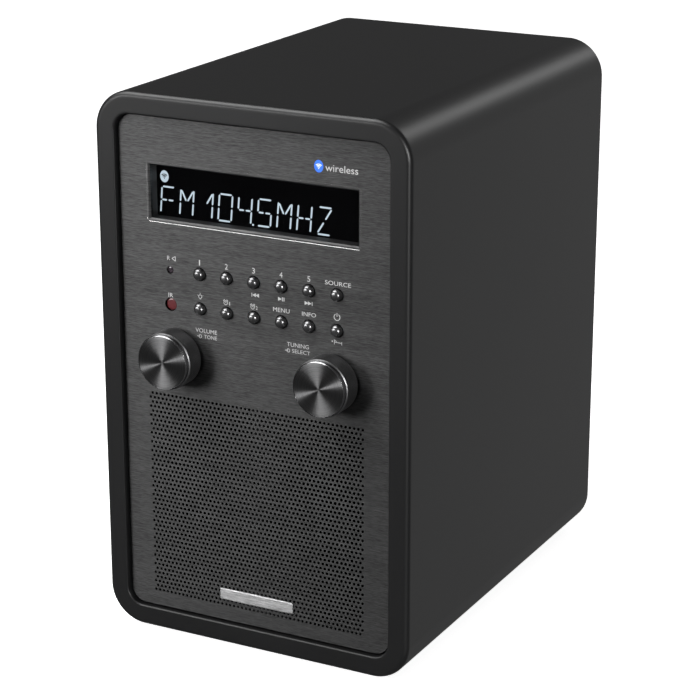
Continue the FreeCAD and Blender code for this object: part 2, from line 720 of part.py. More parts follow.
def makePanel():
    # worked in the panel's own frame: y = 0 is its front face, z = 0 its middle
    thick = s["panelThick"].value
    width = (insideWidth - 2 * s["panelGap"]).value
    height = (insideHeight - 2 * s["panelGap"]).value
    corner = (insideCorner - s["panelGap"]).value
    sheetMetal = roundedFace(width, height, corner, 0, 0).extrude(vector(0, thick, 0))
    middle = (speakerMiddle - cabinetMiddle).value
    pieces = perforatedField(middle, thick)
    corner = vector(-fieldWidth.value / 2, 0, middle - fieldHeight.value / 2)
    field = Part.makeBox(fieldWidth.value, thick, fieldHeight.value, corner)
    window = roundedFace(
        (s["windowWidth"] - 2 * s["windowBevel"]).value,
        (s["windowHeight"] - 2 * s["windowBevel"]).value,
        0,
        0,
        (windowMiddle - cabinetMiddle).value,
    ).extrude(vector(0, thick, 0))
    holes = [(x, z, s["keyRadius"] + s["keyFit"]) for x, z in keys.values()]
    holes.append((s["lampColumn"], upperKeys, s["lampRadius"] + s["infraFit"]))
    holes.append((s["lampColumn"], lowerKeys, s["infraRadius"] + s["infraFit"]))
    holes += [(x, knobHeight, s["bushingRadius"] + s["bushingFit"]) for x in knobColumns.values()]
    rods = [
        Part.makeCylinder(r.value, thick, vector(x.value, 0, (z - cabinetMiddle).value), vector(0, 1, 0))
        for x, z, r in holes
    ]
    blank = sheetMetal.cut([field, window] + rods)
    inside = window.BoundBox
    rim = [
        edge
        for edge in blank.Edges
        if abs(edge.BoundBox.YMax) < 0.001
        and inside.XMin - 0.01 < edge.BoundBox.Center.x < inside.XMax + 0.01
        and inside.ZMin - 0.01 < edge.BoundBox.Center.z < inside.ZMax + 0.01
    ]
    blank = blank.makeChamfer(s["windowBevel"].value, rim)
    panel = doc.addObject("Part::Feature", "FrontPanel")
    panel.Shape = blank.multiFuse(pieces).Solids[0]
    panel.Placement = FreeCAD.Placement()
    place(panel, 0, panelFace, cabinetMiddle)
    keep("front_panel", panel)


def makeBaffle():
    body = plate(
        "baffle",
        insideWidth - 2 * s["tubeFit"],
        insideHeight - 2 * s["tubeFit"],
        insideCorner - s["tubeFit"],
        s["baffleThick"],
        baffleFront,
        cabinetMiddle,
    )
    local = windowMiddle - cabinetMiddle
    inner = (s["windowWidth"] - 2 * s["windowBevel"], s["windowHeight"] - 2 * s["windowBevel"])
    pierceRounded(body, *inner, s["windowBevel"], 0, local)
    lens = [length + 2 * (s["lensLap"] + s["lensFit"]) for length in inner]
    rebate = s["panelThick"] + s["baffleThick"] - s["lensDeep"]
    pierceRounded(body, *lens, s["lensFit"], 0, local, rebate, s["baffleThick"] - rebate)
    circles = [(x, z - cabinetMiddle, s["keyRadius"] + s["keyFit"]) for x, z in keys.values()]
    circles.append((s["lampColumn"], upperKeys - cabinetMiddle, s["lampRadius"] + s["infraFit"]))
    circles.append((s["lampColumn"], lowerKeys - cabinetMiddle, s["infraRadius"] + s["infraFit"]))
    bushing = s["bushingRadius"] + s["bushingFit"]
    circles += [(x, knobHeight - cabinetMiddle, bushing) for x in knobColumns.values()]
    circles.append((0, speakerMiddle - cabinetMiddle, s["baffleMouth"]))
    pierce(body, circles)
    around = 2 * s["clothFit"]
    seat = (clothWidth + around, clothHeight + around, s["clothMargin"])
    pierceRounded(body, *seat, 0, speakerMiddle - cabinetMiddle, s["clothThick"])
    screws = [(x, z - cabinetMiddle, s["screwRadius"] + s["screwFit"]) for x, z in cleatScrews]
    pierce(body, screws, s["screwBite"] + s["screwFit"], s["baffleThick"] - s["screwBite"] - s["screwFit"])
    bite = s["speakerScrewLong"] + s["screwFit"]
    screws = [(x, z - cabinetMiddle, s["speakerScrewRadius"] + s["screwFit"]) for x, z in speakerScrews]
    pierce(body, screws, bite, s["baffleThick"] - bite)


def makeCloth():
    y = baffleFront
    z = speakerMiddle
    plate("grille_cloth", clothWidth, clothHeight, s["clothMargin"], s["clothThick"], y, z)


def makeBadge():
    bar = (s["badgeWidth"], s["badgeHeight"], s["badgeHeight"] / s["badgeRounding"])
    z = cabinetTop - s["badgeDrop"]
    plate("badge_bar", *bar, s["badgeThick"], panelFace - s["badgeThick"], z)


# The display, from the lens back to the board.
def makeDisplay():
    width = s["windowWidth"] - 2 * s["windowBevel"] + 2 * s["lensLap"]
    height = s["windowHeight"] - 2 * s["windowBevel"] + 2 * s["lensLap"]
    corner = s["lensFit"]
    y = panelFace + s["lensDeep"]
    plate("display_lens", width, height, corner, s["lensThick"], y, windowMiddle)
    plate("display_glass", width, height, corner, s["lcdThick"], lcdFront, windowMiddle)
    y = lcdFront + s["lcdThick"]
    plate("display_backlight", width, height, corner, s["backlightThick"], y, windowMiddle)


def makeLamp():
    x = s["lampColumn"]
    y = panelFace + s["lampSunk"]
    middle = y + s["lampRadius"]
    tip = ball("LampTip", s["lampRadius"], x, middle, upperKeys)
    stem = rod("LampStem", s["lampRadius"], boardFront - middle, x, middle, upperKeys)
    keep("status_lamp", fuse("Lamp", [tip, stem]))


def makeInfrared():
    x = s["lampColumn"]
    y = panelFace + s["infraSunk"]
    window = rod("InfraWindow", s["infraRadius"], baffleRear - y, x, y, lowerKeys)
    flange = rod("InfraFlange", s["infraFlangeRadius"], s["infraFlangeThick"], x, baffleRear, lowerKeys)
    keep("infrared_window", fuse("Infra", [window, flange]))
    front = baffleRear + s["infraFlangeThick"]
    side = s["receiverSide"]
    keep("infrared_receiver", box("Receiver", side, boardFront - front, side, x, front, lowerKeys))


# The keys and their switches.
def makeKeys():
    switches = []
    for label, (x, z) in keys.items():
        dome = ball("KeyDome", s["keyRadius"], x, panelFace - s["keyProud"] + s["keyRadius"], z)
        start = panelFace - s["keyProud"] + s["keyRadius"]
        collar = baffleRear + s["keyFlangeGap"]
        shank = rod("KeyShank", s["keyRadius"], collar - start, x, start, z)
        flange = rod("KeyFlange", s["keyFlangeRadius"], s["keyFlangeThick"], x, collar, z)
        end = boardFront - s["switchTall"] - s["keyStemGap"]
        stem = rod("KeyStem", s["keyStemRadius"], end - collar, x, collar, z)
        keep(label, fuse("Key", [dome, shank, flange, stem]))
        front = boardFront - s["switchTall"]
        switches.append(box("KeySwitch", s["switchSide"], s["switchTall"], s["switchSide"], x, front, z))
    keep("key_switches", group("KeySwitches", switches))


# The two rotary controls: knob, face disc, shaft and rotor for each, then the fixed parts in pairs.
def makeControl(name, x):
    skirt = panelFace - s["knobGap"]
    face = panelFace - s["knobTall"]
    base = skirt - face
    hollow = s["knobRadius"] - s["knobSkirt"]
    floor = base - s["knobHollow"]
    bore = s["knobTall"] - s["shaftTip"]
    outline = (
        (0, s["knobCapThick"]),
        (s["knobCapRadius"], s["knobCapThick"]),
        (s["knobCapRadius"], 0),
        (s["knobRadius"] - s["knobEdge"], 0),
        (s["knobRadius"], s["knobEdge"]),
        (s["knobRadius"], base),
        (hollow, base),
        (hollow, floor),
        (s["shaftRadius"], floor),
        (s["shaftRadius"], bore),
        (0, bore),
    )
    turned(name + "_knob", outline, x, face, knobHeight)
    disc = (
        (0, 0),
        (s["knobCapRadius"], 0),
        (s["knobCapRadius"], s["knobCapThick"]),
        (0, s["knobCapThick"]),
    )
    turned(name + "_knob_face", disc, x, face, knobHeight)
    tip = panelFace - s["shaftTip"]
    end = boardFront - s["encoderRear"] - s["shaftEndGap"]
    blank = rod("ShaftRound", s["shaftRadius"], end - tip, x, tip, knobHeight)
    flat = flatCutter("ShaftFlat", s["shaftFlat"], s["shaftRadius"], s["shaftFlatTall"], x, end)
    keep(name + "_shaft", cut("Shaft", blank, flat))
    front = baffleRear + s["encoderFront"] + s["rotorGap"]
    ring = rod("RotorRing", s["rotorRadius"], s["rotorThick"], x, front, knobHeight)
    eye = s["shaftRadius"] + s["shaftFit"]
    hole = rod("RotorHole", eye, s["rotorThick"], x, front, knobHeight)
    key = s["shaftFlat"] + s["shaftFit"]
    flat = flatCutter("RotorFlat", key, eye, s["rotorThick"], x, front + s["rotorThick"])
    keep(name + "_rotor", cut("Rotor", ring, cut("RotorEye", hole, flat)))


def flatCutter(name, flat, radius, tall, x, end):
    # a block above the flat, whose rear face is at end
    deep = radius * 2
    return box(name, deep, tall, deep, x, end - tall, knobHeight + flat + radius)


def makeControlMounts():
    bushings = []
    nuts = []
    housings = []
    eye = s["shaftRadius"] + s["shaftFit"]
    front = panelFace - s["bushingProud"]
    seat = baffleRear + s["encoderFront"]
    for x in knobColumns.values():
        tube = rod("BushingTube", s["bushingRadius"], seat - front, x, front, knobHeight)
        bore = rod("BushingBore", eye, seat - front, x, front, knobHeight)
        bushings.append(cut("Bushing", tube, bore))
        top = panelFace - s["nutThick"]
        blank = hexagon("NutBlank", s["nutFlats"], s["nutThick"], x, top, knobHeight)
        bore = rod("NutBore", s["bushingRadius"], s["nutThick"], x, top, knobHeight)
        nuts.append(cut("Nut", blank, bore))
        side = s["encoderSide"]
        block = box("EncoderBlock", side, boardFront - baffleRear, side, x, baffleRear, knobHeight)
        mouth = rod("EncoderMouth", s["bushingRadius"], s["encoderFront"], x, baffleRear, knobHeight)
        deep = boardFront - s["encoderRear"] - seat
        room = rod("EncoderRoom", s["encoderBore"], deep, x, seat, knobHeight)
        housings.append(cut("Encoder", block, fuse("EncoderHollow", [mouth, room])))
    keep("encoder_bushings", group("Bushings", bushings))
    keep("encoder_nuts", group("Nuts", nuts))
    keep("encoder_housings", group("Encoders", housings))


def makeBoards():
    height = s["boardLowDrop"] - s["boardTopDrop"]
    middle = cabinetTop - (s["boardLowDrop"] + s["boardTopDrop"]) / 2
    corner = s["boardThick"]
    front = plate("front_board", s["boardWidth"], height, corner, s["boardThick"], boardFront, middle)
    bore = s["pillarBore"]
    pierce(front, [(x, z - middle, bore) for x, z in pillars])
    y = mainBoardRear - s["boardThick"]
    sides = (s["boardWidth"], s["mainBoardHeight"])
    main = plate("main_board", *sides, corner, s["boardThick"], y, mainBoardMiddle)
    pierce(main, [(x, z - mainBoardMiddle, bore) for x, z in mainPillars])


def makePillars():
    tubes = []
    screws = []
    runs = [(x, baffleRear, boardFront, z) for x, z in pillars]
    runs += [(x, mainBoardRear, rearInside, z) for x, z in mainPillars]
    for x, start, end, z in runs:
        post = rod("PillarPost", s["pillarRadius"], end - start, x, start, z)
        tubes.append(cut("Pillar", post, rod("PillarBore", s["pillarBore"], end - start, x, start, z)))
    for x, z in pillars:
        screws.append(boardScrew(x, boardRear, z, 1))
    for x, z in mainPillars:
        screws.append(boardScrew(x, mainBoardRear - s["boardThick"], z, -1))
    keep("board_pillars", group("Pillars", tubes))
    keep("board_screws", group("BoardScrews", screws))


def boardScrew(x, y, z, side):
    # the head lies on the board's face at y; side is 1 where the head is behind the board
    tall = s["boardScrewHeadTall"]
    head = rod("BoardScrewHead", s["boardScrewHead"], tall, x, y if side > 0 else y - tall, z)
    start = y - s["boardScrewLong"] if side > 0 else y
    shank = rod("BoardScrewShank", s["boardScrewRadius"], s["boardScrewLong"], x, start, z)
    return fuse("BoardScrew", [head, shank])


# The loudspeaker. Its outlines start at the baffle's rear face.
def makeSpeaker():
    spot = (0, baffleRear, speakerMiddle)
    floorRear = s["basketFloor"] + s["basketFloorThick"]
    rim = s["speakerMouth"] + s["basketWall"]
    basket = (
        (s["speakerRadius"], 0),
        (s["speakerRadius"], s["speakerFlange"]),
        (rim, s["speakerFlange"]),
        (s["basketFloorRadius"], floorRear),
        (s["basketFloorBore"], floorRear),
        (s["basketFloorBore"], s["basketFloor"]),
        (s["basketFloorRadius"] - s["basketFloorThick"], s["basketFloor"]),
        (s["speakerMouth"], s["speakerFlange"]),
        (s["speakerMouth"], 0),
    )
    body = turned("speaker_basket", basket, *spot)
    doc.recompute()
    turn = FreeCAD.Units.Quantity("360 deg").getValueAs("rad").Value / s["basketWindows"].value
    windows = []
    for number in range(int(s["basketWindows"].value)):
        ray = vector(1, 0, 0)
        ray = FreeCAD.Rotation(vector(0, 1, 0), FreeCAD.Units.Quantity(turn, "rad")).multVec(ray)
        circle = s["basketWindowCircle"]
        windows.append((ray.x * circle, ray.z * circle, s["basketWindow"]))
    pierce(body, windows)
    bore = s["speakerScrewRadius"] + s["screwFit"]
    pierce(body, [(x, z - speakerMiddle, bore) for x, z in speakerScrews])
    screws = []
    for x, z in speakerScrews:
        seat = baffleRear + s["speakerFlange"]
        head = rod("SpeakerScrewHead", s["speakerScrewHead"], s["boardScrewHeadTall"], x, seat, z)
        length = s["speakerFlange"] + s["speakerScrewLong"]
        shank = rod("SpeakerScrewShank", s["speakerScrewRadius"], length, x, seat - length, z)
        screws.append(fuse("SpeakerScrew", [head, shank]))
    keep("speaker_screws", group("SpeakerScrews", screws))

    lip = s["coneRadius"] - s["coneLip"]
    paper = s["conePaper"]
    cone = (
        (s["coneRadius"], s["coneFront"]),
        (s["coneRadius"], s["coneFront"] + paper),
        (lip, s["coneFront"] + paper),
        (s["coilRadius"] + paper, s["coneThroat"] + paper),
        (s["coilRadius"], s["coneThroat"] + paper),
        (s["coilRadius"], s["coneThroat"]),
        (lip, s["coneFront"]),
    )
    turned("speaker_cone", cone, *spot)
    coil = (
        (s["coilRadius"] - s["coilWall"], s["coneThroat"]),
        (s["coilRadius"], s["coneThroat"]),
        (s["coilRadius"], s["coilEnd"]),
        (s["coilRadius"] - s["coilWall"], s["coilEnd"]),
    )
    turned("voice_coil", coil, *spot)
    slope = (s["coneThroat"] - s["coneFront"]) / (lip - s["coilRadius"])
    base = s["coneFront"] + (lip - s["capRadius"]) * slope - s["capGap"]
    skin = s["capSkin"]
    # the cap's shape, as shares of its radius and of its rise
    crown, crownRise = 0.5, 0.75
    shoulder, shoulderInside, shoulderRise = 0.85, 0.82, 0.28
    cap = (
        (0, base - s["capRise"] - skin),
        (s["capRadius"] * crown, base - s["capRise"] * crownRise - skin),
        (s["capRadius"] * shoulder, base - s["capRise"] * shoulderRise - skin),
        (s["capRadius"], base - skin),
        (s["capRadius"], base),
        (s["capRadius"] * shoulderInside, base - s["capRise"] * shoulderRise),
        (s["capRadius"] * crown, base - s["capRise"] * crownRise),
        (0, base - s["capRise"]),
    )
    turned("dust_cap", cap, *spot)

    outer = s["speakerMouth"]
    inner = s["coneRadius"]
    skin = s["rollSkin"]
    middle = (outer + inner) / 2
    roll = (
        (outer, s["rollFoot"]),
        (outer, 0),
        (outer - skin / 2, -s["rollHeight"] / 2),
        (middle + skin, -s["rollHeight"]),
        (middle - skin, -s["rollHeight"]),
        (inner - skin, -s["rollHeight"] / 2),
        (inner - skin, s["coneFront"] - skin),
        (lip, s["coneFront"] - skin),
        (lip, s["coneFront"]),
        (inner, s["coneFront"]),
        (inner + skin / 4, -s["rollHeight"] / 2 + skin),
        (middle - skin / 2, -s["rollHeight"] + skin),
        (middle + skin / 2, -s["rollHeight"] + skin),
        (outer - skin * 1.2, -s["rollHeight"] / 2 + skin),
        (outer - skin, s["rollFoot"]),
    )
    turned("speaker_surround", roll, *spot)
    hole = s["coilRadius"]
    spider = (
        (hole, s["spiderHigh"]),
        (s["spiderRadius"], s["spiderHigh"]),
        (s["spiderRadius"], s["basketFloor"]),
        (s["spiderRadius"] - s["spiderFoot"], s["basketFloor"]),
        (s["spiderRadius"] - s["spiderFoot"], s["spiderHigh"] + s["spiderSkin"]),
        (hole, s["spiderHigh"] + s["spiderSkin"]),
    )
    turned("speaker_spider", spider, *spot)
    topRear = floorRear + s["topPlateThick"]
    ring = s["coilRadius"] + s["coilFit"]
    topPlate = ringOutline(ring, s["topPlateRadius"], floorRear, topRear)
    turned("speaker_top_plate", topPlate, *spot)
    magnetRear = topRear + s["magnetThick"]
    magnet = ringOutline(s["magnetBore"], s["magnetRadius"], topRear, magnetRear)
    turned("speaker_magnet", magnet, *spot)
    pole = s["coilRadius"] - s["coilWall"] - s["coilFit"]
    yoke = (
        (0, floorRear + s["poleRelief"]),
        (pole, floorRear + s["poleRelief"]),
        (pole, magnetRear),
        (s["yokeRadius"], magnetRear),
        (s["yokeRadius"], magnetRear + s["yokeThick"]),
        (0, magnetRear + s["yokeThick"]),
    )
    turned("speaker_yoke", yoke, *spot)


def ringOutline(inner, outer, start, end):
    return ((inner, start), (outer, start), (outer, end), (inner, end))


# The rear panel and its sockets.
def makeRear():
    width = insideWidth - 2 * s["tubeFit"]
    height = insideHeight - 2 * s["tubeFit"]
    corner = insideCorner - s["tubeFit"]
    body = plate("rear_panel", width, height, corner, s["rearThick"], rearInside, cabinetMiddle)
    fit = s["socketFit"]
    holes = [(x, z - cabinetMiddle, s["screwRadius"] + s["screwFit"]) for x, z in cleatScrews]
    row = socketMiddle - cabinetMiddle
    holes += [(x, row, s["jackRadius"] + fit) for x in (s["auxSide"], s["phonesSide"])]
    holes.append((s["inletSide"], row, s["inletRadius"] + fit))
    holes.append((0, cabinetTop - s["aerialDrop"] - cabinetMiddle, s["aerialNeck"] + fit))
    pierce(body, holes)


def barrelSocket(name, x, side, radius, proud):
    # a square body behind the rear panel with a round barrel through it
    block = box(name + "Body", side, s["rearStandOff"], side, x, mainBoardRear, socketMiddle)
    length = s["rearThick"] + proud
    barrel = rod(name + "Barrel", radius, length, x, rearInside, socketMiddle)
    return fuse(name + "Blank", [block, barrel])


def makeSockets():
    jacks = []
    for x in (s["auxSide"], s["phonesSide"]):
        blank = barrelSocket("Jack", x, s["jackBody"], s["jackRadius"], s["jackProud"])
        mouth = rearOutside + s["jackProud"]
        bore = rod("JackBore", s["jackBore"], s["jackBoreDeep"], x, mouth - s["jackBoreDeep"], socketMiddle)
        jacks.append(cut("Jack", blank, bore))
    keep("audio_jacks", group("Jacks", jacks))
    x = s["inletSide"]
    blank = barrelSocket("Inlet", x, s["inletBody"], s["inletRadius"], s["inletProud"])
    mouth = rearOutside + s["inletProud"]
    start = mouth - s["inletBoreDeep"]
    bore = rod("InletBore", s["inletBore"], s["inletBoreDeep"], x, start, socketMiddle)
    pin = rod("InletPin", s["inletPin"], s["inletBoreDeep"] - s["inletPinSunk"], x, start, socketMiddle)
    keep("power_inlet", cut("Inlet", blank, cut("InletRoom", bore, pin)))
    z = cabinetTop - s["aerialDrop"]
    start = rearInside - s["aerialCollar"]
    length = s["aerialCollar"] + s["rearThick"] + s["aerialProud"]
    barrel = rod("AerialBarrel", s["aerialRadius"], length, 0, start, z)
    neck = rod("AerialNeck", s["aerialNeck"], s["aerialCollar"] + s["rearThick"], 0, start, z)
    collar = hexagon("AerialCollar", s["aerialFlats"], s["aerialCollar"], 0, start, z)
    end = rearOutside + s["aerialProud"]
    hole = rod("AerialHole", s["aerialBore"], s["aerialBoreDeep"], 0, end - s["aerialBoreDeep"], z)
    keep("aerial_socket", cut("Aerial", fuse("AerialBlank", [barrel, neck, collar]), hole))


def check():
    doc.recompute()
    failed = [item.Name for item in doc.Objects if {"Invalid", "Error"} & set(item.State)]
    for label, thing in nodes.items():
        shape = thing.Shape
        if shape.isNull() or not shape.isValid() or not shape.Solids:
            failed.append(label)
    if failed:
        raise RuntimeError("failed: %s" % ", ".join(failed))


def write():
    os.makedirs("parts", exist_ok=True)
    for label, thing in nodes.items():
        thing.Shape.exportStep("parts/%s.step" % label)
        print(label, len(thing.Shape.Solids), round(thing.Shape.Volume, 2))


makeCabinet()
makeFeet()
makeCleats()
makeCabinetScrews()
makePanel()
makeBaffle()
makeCloth()
makeBadge()
makeDisplay()
makeLamp()
makeInfrared()
makeKeys()
for name, column in knobColumns.items():
    makeControl(name, column)
makeControlMounts()
makeBoards()
makePillars()
makeSpeaker()
makeRear()
makeSockets()
check()
write()
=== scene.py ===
import bpy
import bmesh
import json
import math
from mathutils import Matrix, Vector


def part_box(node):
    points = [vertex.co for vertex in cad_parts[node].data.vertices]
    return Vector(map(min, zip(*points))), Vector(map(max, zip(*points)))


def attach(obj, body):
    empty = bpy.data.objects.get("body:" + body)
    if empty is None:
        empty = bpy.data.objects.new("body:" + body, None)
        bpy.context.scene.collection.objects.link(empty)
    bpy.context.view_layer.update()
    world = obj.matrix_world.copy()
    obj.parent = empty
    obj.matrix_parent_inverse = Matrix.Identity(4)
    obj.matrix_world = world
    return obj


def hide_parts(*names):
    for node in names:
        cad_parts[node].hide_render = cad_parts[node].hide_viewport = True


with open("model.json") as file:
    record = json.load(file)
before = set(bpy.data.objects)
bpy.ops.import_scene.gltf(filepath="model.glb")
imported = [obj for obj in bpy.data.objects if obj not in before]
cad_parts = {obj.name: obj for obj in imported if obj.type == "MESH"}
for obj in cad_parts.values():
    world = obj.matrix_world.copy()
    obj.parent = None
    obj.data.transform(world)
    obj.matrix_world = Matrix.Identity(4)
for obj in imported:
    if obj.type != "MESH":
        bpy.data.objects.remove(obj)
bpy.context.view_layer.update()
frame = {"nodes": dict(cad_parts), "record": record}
record = frame["record"]
scene = bpy.context.scene
mm = 0.001
cabinet = "cabinet"


# places, all read from the frame
def middleOf(node):
    low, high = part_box(node)
    return (Vector(low) + Vector(high)) / 2


def sizeOf(node):
    low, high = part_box(node)
    return Vector(high) - Vector(low)


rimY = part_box("cabinet")[0][1]
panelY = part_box("front_panel")[0][1]
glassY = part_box("display_glass")[0][1]
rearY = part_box("rear_panel")[1][1]
cabinetMiddle = middleOf("cabinet")
windowMiddle = middleOf("display_lens")
print("frame read:", len(frame["nodes"]), "nodes")


# shader arithmetic
def join(tree, value, entry):
    if isinstance(value, Field):
        tree.links.new(value.socket, entry)
    else:
        entry.default_value = value


class Field:
    # one socket of a shader; an operator on it adds a Math node
    def __init__(self, tree, socket):
        self.tree = tree
        self.socket = socket

    def math(self, operation, *values):
        node = self.tree.nodes.new("ShaderNodeMath")
        node.operation = operation
        for entry, value in zip(node.inputs, values):
            join(self.tree, value, entry)
        return Field(self.tree, node.outputs[0])

    def __add__(self, other):
        return self.math("ADD", self, other)

    def __radd__(self, other):
        return self.math("ADD", other, self)

    def __sub__(self, other):
        return self.math("SUBTRACT", self, other)

    def __rsub__(self, other):
        return self.math("SUBTRACT", other, self)

    def __mul__(self, other):
        return self.math("MULTIPLY", self, other)

    def __rmul__(self, other):
        return self.math("MULTIPLY", other, self)

    def __pow__(self, other):
        return self.math("POWER", self, other)

    def __rpow__(self, other):
        return self.math("POWER", other, self)

    def __gt__(self, other):
        return self.math("GREATER_THAN", self, other)

    def __lt__(self, other):
        return self.math("LESS_THAN", self, other)

    def absolute(self):
        return self.math("ABSOLUTE", self)

    def spread(self, low, swing):
        return low + self * swing

    def contrasted(self, amount):
        return (self - 0.5) * amount + 0.5

    def clamped(self):
        return self.math("MINIMUM", self.math("MAXIMUM", self, 0.0), 1.0)


class Nodes:
    # adds nodes to one tree
    def __init__(self, tree):
        self.tree = tree

    def node(self, kind, settings=None, inputs=None, output=0):
        node = self.tree.nodes.new(kind)
        for name, value in (settings or {}).items():
            setattr(node, name, value)
        for name, value in (inputs or {}).items():
            join(self.tree, value, node.inputs[name])
        return Field(self.tree, node.outputs[output])


class Finish(Nodes):
    # a material with one Principled shader
    def __init__(self, name, **uniform):
        self.material = bpy.data.materials.new(name)
        self.material.use_nodes = True
        super().__init__(self.material.node_tree)
        self.shader = self.tree.nodes["Principled BSDF"]
        for socket, value in uniform.items():
            self.shader.inputs[socket.replace("_", " ")].default_value = value

    def place(self, scale=(1, 1, 1)):
        spot = self.node("ShaderNodeTexCoord", output="Object")
        return self.node("ShaderNodeMapping", None, {"Vector": spot, "Scale": scale})

    def noise(self, scale, detail=2.0, roughness=0.5, stretch=(1, 1, 1)):
        spot = self.place(stretch)
        inputs = {"Vector": spot, "Scale": scale, "Detail": detail, "Roughness": roughness}
        return self.node("ShaderNodeTexNoise", None, inputs)

    def blend(self, factor, low, high):
        colours = {0: factor, 6: (*low, 1), 7: (*high, 1)}
        return self.node("ShaderNodeMix", {"data_type": "RGBA"}, colours, 2)

    def bump(self, height, strength, distance):
        inputs = {"Height": height, "Strength": strength, "Distance": distance}
        return self.node("ShaderNodeBump", None, inputs)

    def feed(self, **links):
        for socket, value in links.items():
            join(self.tree, value, self.shader.inputs[socket.replace("_", " ")])
        return self.material


# finishes
def shades(tone, darker, lighter):
    dark = [channel * darker for channel in tone]
    light = [min(channel * lighter, 1.0) for channel in tone]
    return dark, light


paint = {
    "dark": (0.0026, 0.0026, 0.0028),
    "light": (0.0052, 0.0052, 0.0055),
    "cloudShare": 0.6,
    "grainShare": 0.4,
    "roughness": 0.35,
    "grainRoughness": 0.05,
    "cloudRoughness": 0.04,
    "specular": 0.5,
    "grain": 2600.0,
    "peel": 572.0,
    "cloud": 22.0,
    "peelRelief": 0.7,
    "grainRelief": 0.3,
    "relief": (0.12, 0.04 * mm),
}


def satinPaint():
    finish = Finish("satinBlackPaint", Specular_IOR_Level=paint["specular"])
    grain = finish.noise(paint["grain"], 3.0)
    cloud = finish.noise(paint["cloud"], 4.0)
    peel = finish.noise(paint["peel"], 2.0)
    mottle = cloud * paint["cloudShare"] + grain * paint["grainShare"]
    height = peel * paint["peelRelief"] + grain * paint["grainRelief"]
    uneven = grain * paint["grainRoughness"] + cloud * paint["cloudRoughness"]
    return finish.feed(
        Base_Color=finish.blend(mottle, paint["dark"], paint["light"]),
        Roughness=paint["roughness"] + uneven,
        Normal=finish.bump(height, *paint["relief"]),
    )


brushing = {
    "dark": (0.026, 0.026, 0.0262),
    "light": (0.115, 0.115, 0.1155),
    "roughness": (0.37, 0.16),
    "anisotropy": 0.8,
    "acrossGrooves": 0.25,
    "long": (90, 90, 4200),
    "short": (420, 420, 6500),
    "wide": (6, 6, 260),
    "longShare": 0.4,
    "shortShare": 0.52,
    "wideShare": 0.08,
    "contrast": 3.2,
    "relief": (0.25, 0.012 * mm),
}


def brushedMetal(name, tone=1.0):
    uniform = {"Anisotropic": brushing["anisotropy"], "Anisotropic_Rotation": brushing["acrossGrooves"]}
    finish = Finish(name, Metallic=1.0, **uniform)
    long = finish.noise(1.0, 5.0, 0.62, brushing["long"]) * brushing["longShare"]
    short = finish.noise(1.0, 3.0, 0.6, brushing["short"])
    wide = finish.noise(1.0, 2.0, 0.5, brushing["wide"]) * brushing["wideShare"]
    streak = (long + short * brushing["shortShare"] + wide).contrasted(brushing["contrast"])
    dark = [tone * channel for channel in brushing["dark"]]
    light = [tone * channel for channel in brushing["light"]]
    return finish.feed(
        Base_Color=finish.blend(streak.clamped(), dark, light),
        Roughness=short.spread(*brushing["roughness"]),
        Normal=finish.bump(streak, *brushing["relief"]),
    )


cutFinish = {
    "dark": (0.62, 0.62, 0.62),
    "light": (0.92, 0.92, 0.91),
    "lines": (60, 9000, 9000),
    "roughness": (0.16, 0.12),
}


def polishedCut():
    finish = Finish("polishedCut", Metallic=1.0)
    line = finish.noise(1.0, 2.0, 0.5, cutFinish["lines"])
    return finish.feed(
        Base_Color=finish.blend(line, cutFinish["dark"], cutFinish["light"]),
        Roughness=line.spread(*cutFinish["roughness"]),
    )


spun = {
    "dark": (0.085, 0.085, 0.0865),
    "light": (0.22, 0.22, 0.2225),
    "roughness": (0.4, 0.12),
    "anisotropy": 1.0,
    "acrossGrooves": 0.25,
    "rings": 5200.0,
    "contrast": 2.2,
    "relief": (0.12, 0.01 * mm),
}


def spunMetal():
    # grooves of a lathe: rings about the piece's own Z axis
    uniform = {"Anisotropic": spun["anisotropy"], "Anisotropic_Rotation": spun["acrossGrooves"]}
    finish = Finish("spunMetal", Metallic=1.0, **uniform)
    spot = finish.place()
    x = finish.node("ShaderNodeSeparateXYZ", None, {"Vector": spot}, "X")
    y = finish.node("ShaderNodeSeparateXYZ", None, {"Vector": spot}, "Y")
    radius = (x * x + y * y) ** 0.5
    settings = {"noise_dimensions": "1D"}
    inputs = {"W": radius * spun["rings"], "Scale": 1.0, "Detail": 3.0, "Roughness": 0.7}
    ring = finish.node("ShaderNodeTexNoise", settings, inputs)
    return finish.feed(
        Base_Color=finish.blend(ring.contrasted(spun["contrast"]).clamped(), spun["dark"], spun["light"]),
        Roughness=ring.spread(*spun["roughness"]),
        Normal=finish.bump(ring, *spun["relief"]),
    )


knurling = {
    "dark": (0.11, 0.11, 0.112),
    "light": (0.30, 0.30, 0.304),
    "fine": 5200.0,
    "cloud": 240.0,
    "roughness": (0.3, 0.16),
    "relief": (0.2, 0.03 * mm),
}


def knurledMetal():
    finish = Finish("knurledMetal", Metallic=1.0)
    fine = finish.noise(knurling["fine"], 3.0)
    cloud = finish.noise(knurling["cloud"], 2.0)
    return finish.feed(
        Base_Color=finish.blend(fine * 0.5 + cloud * 0.5, knurling["dark"], knurling["light"]),
        Roughness=fine.spread(*knurling["roughness"]),
        Normal=finish.bump(fine, *knurling["relief"]),
    )


plating = {
    "dark": (0.17, 0.17, 0.173),
    "light": (0.25, 0.25, 0.2535),
    "coat": 0.15,
    "coatRoughness": 0.12,
    "haze": 900.0,
    "roughness": (0.24, 0.09),
}


def platedKey():
    uniform = {"Coat_Weight": plating["coat"], "Coat_Roughness": plating["coatRoughness"]}
    finish = Finish("platedKey", Metallic=1.0, **uniform)
    haze = finish.noise(plating["haze"], 3.0)
    return finish.feed(
        Base_Color=finish.blend(haze, plating["dark"], plating["light"]),
        Roughness=haze.spread(*plating["roughness"]),
    )


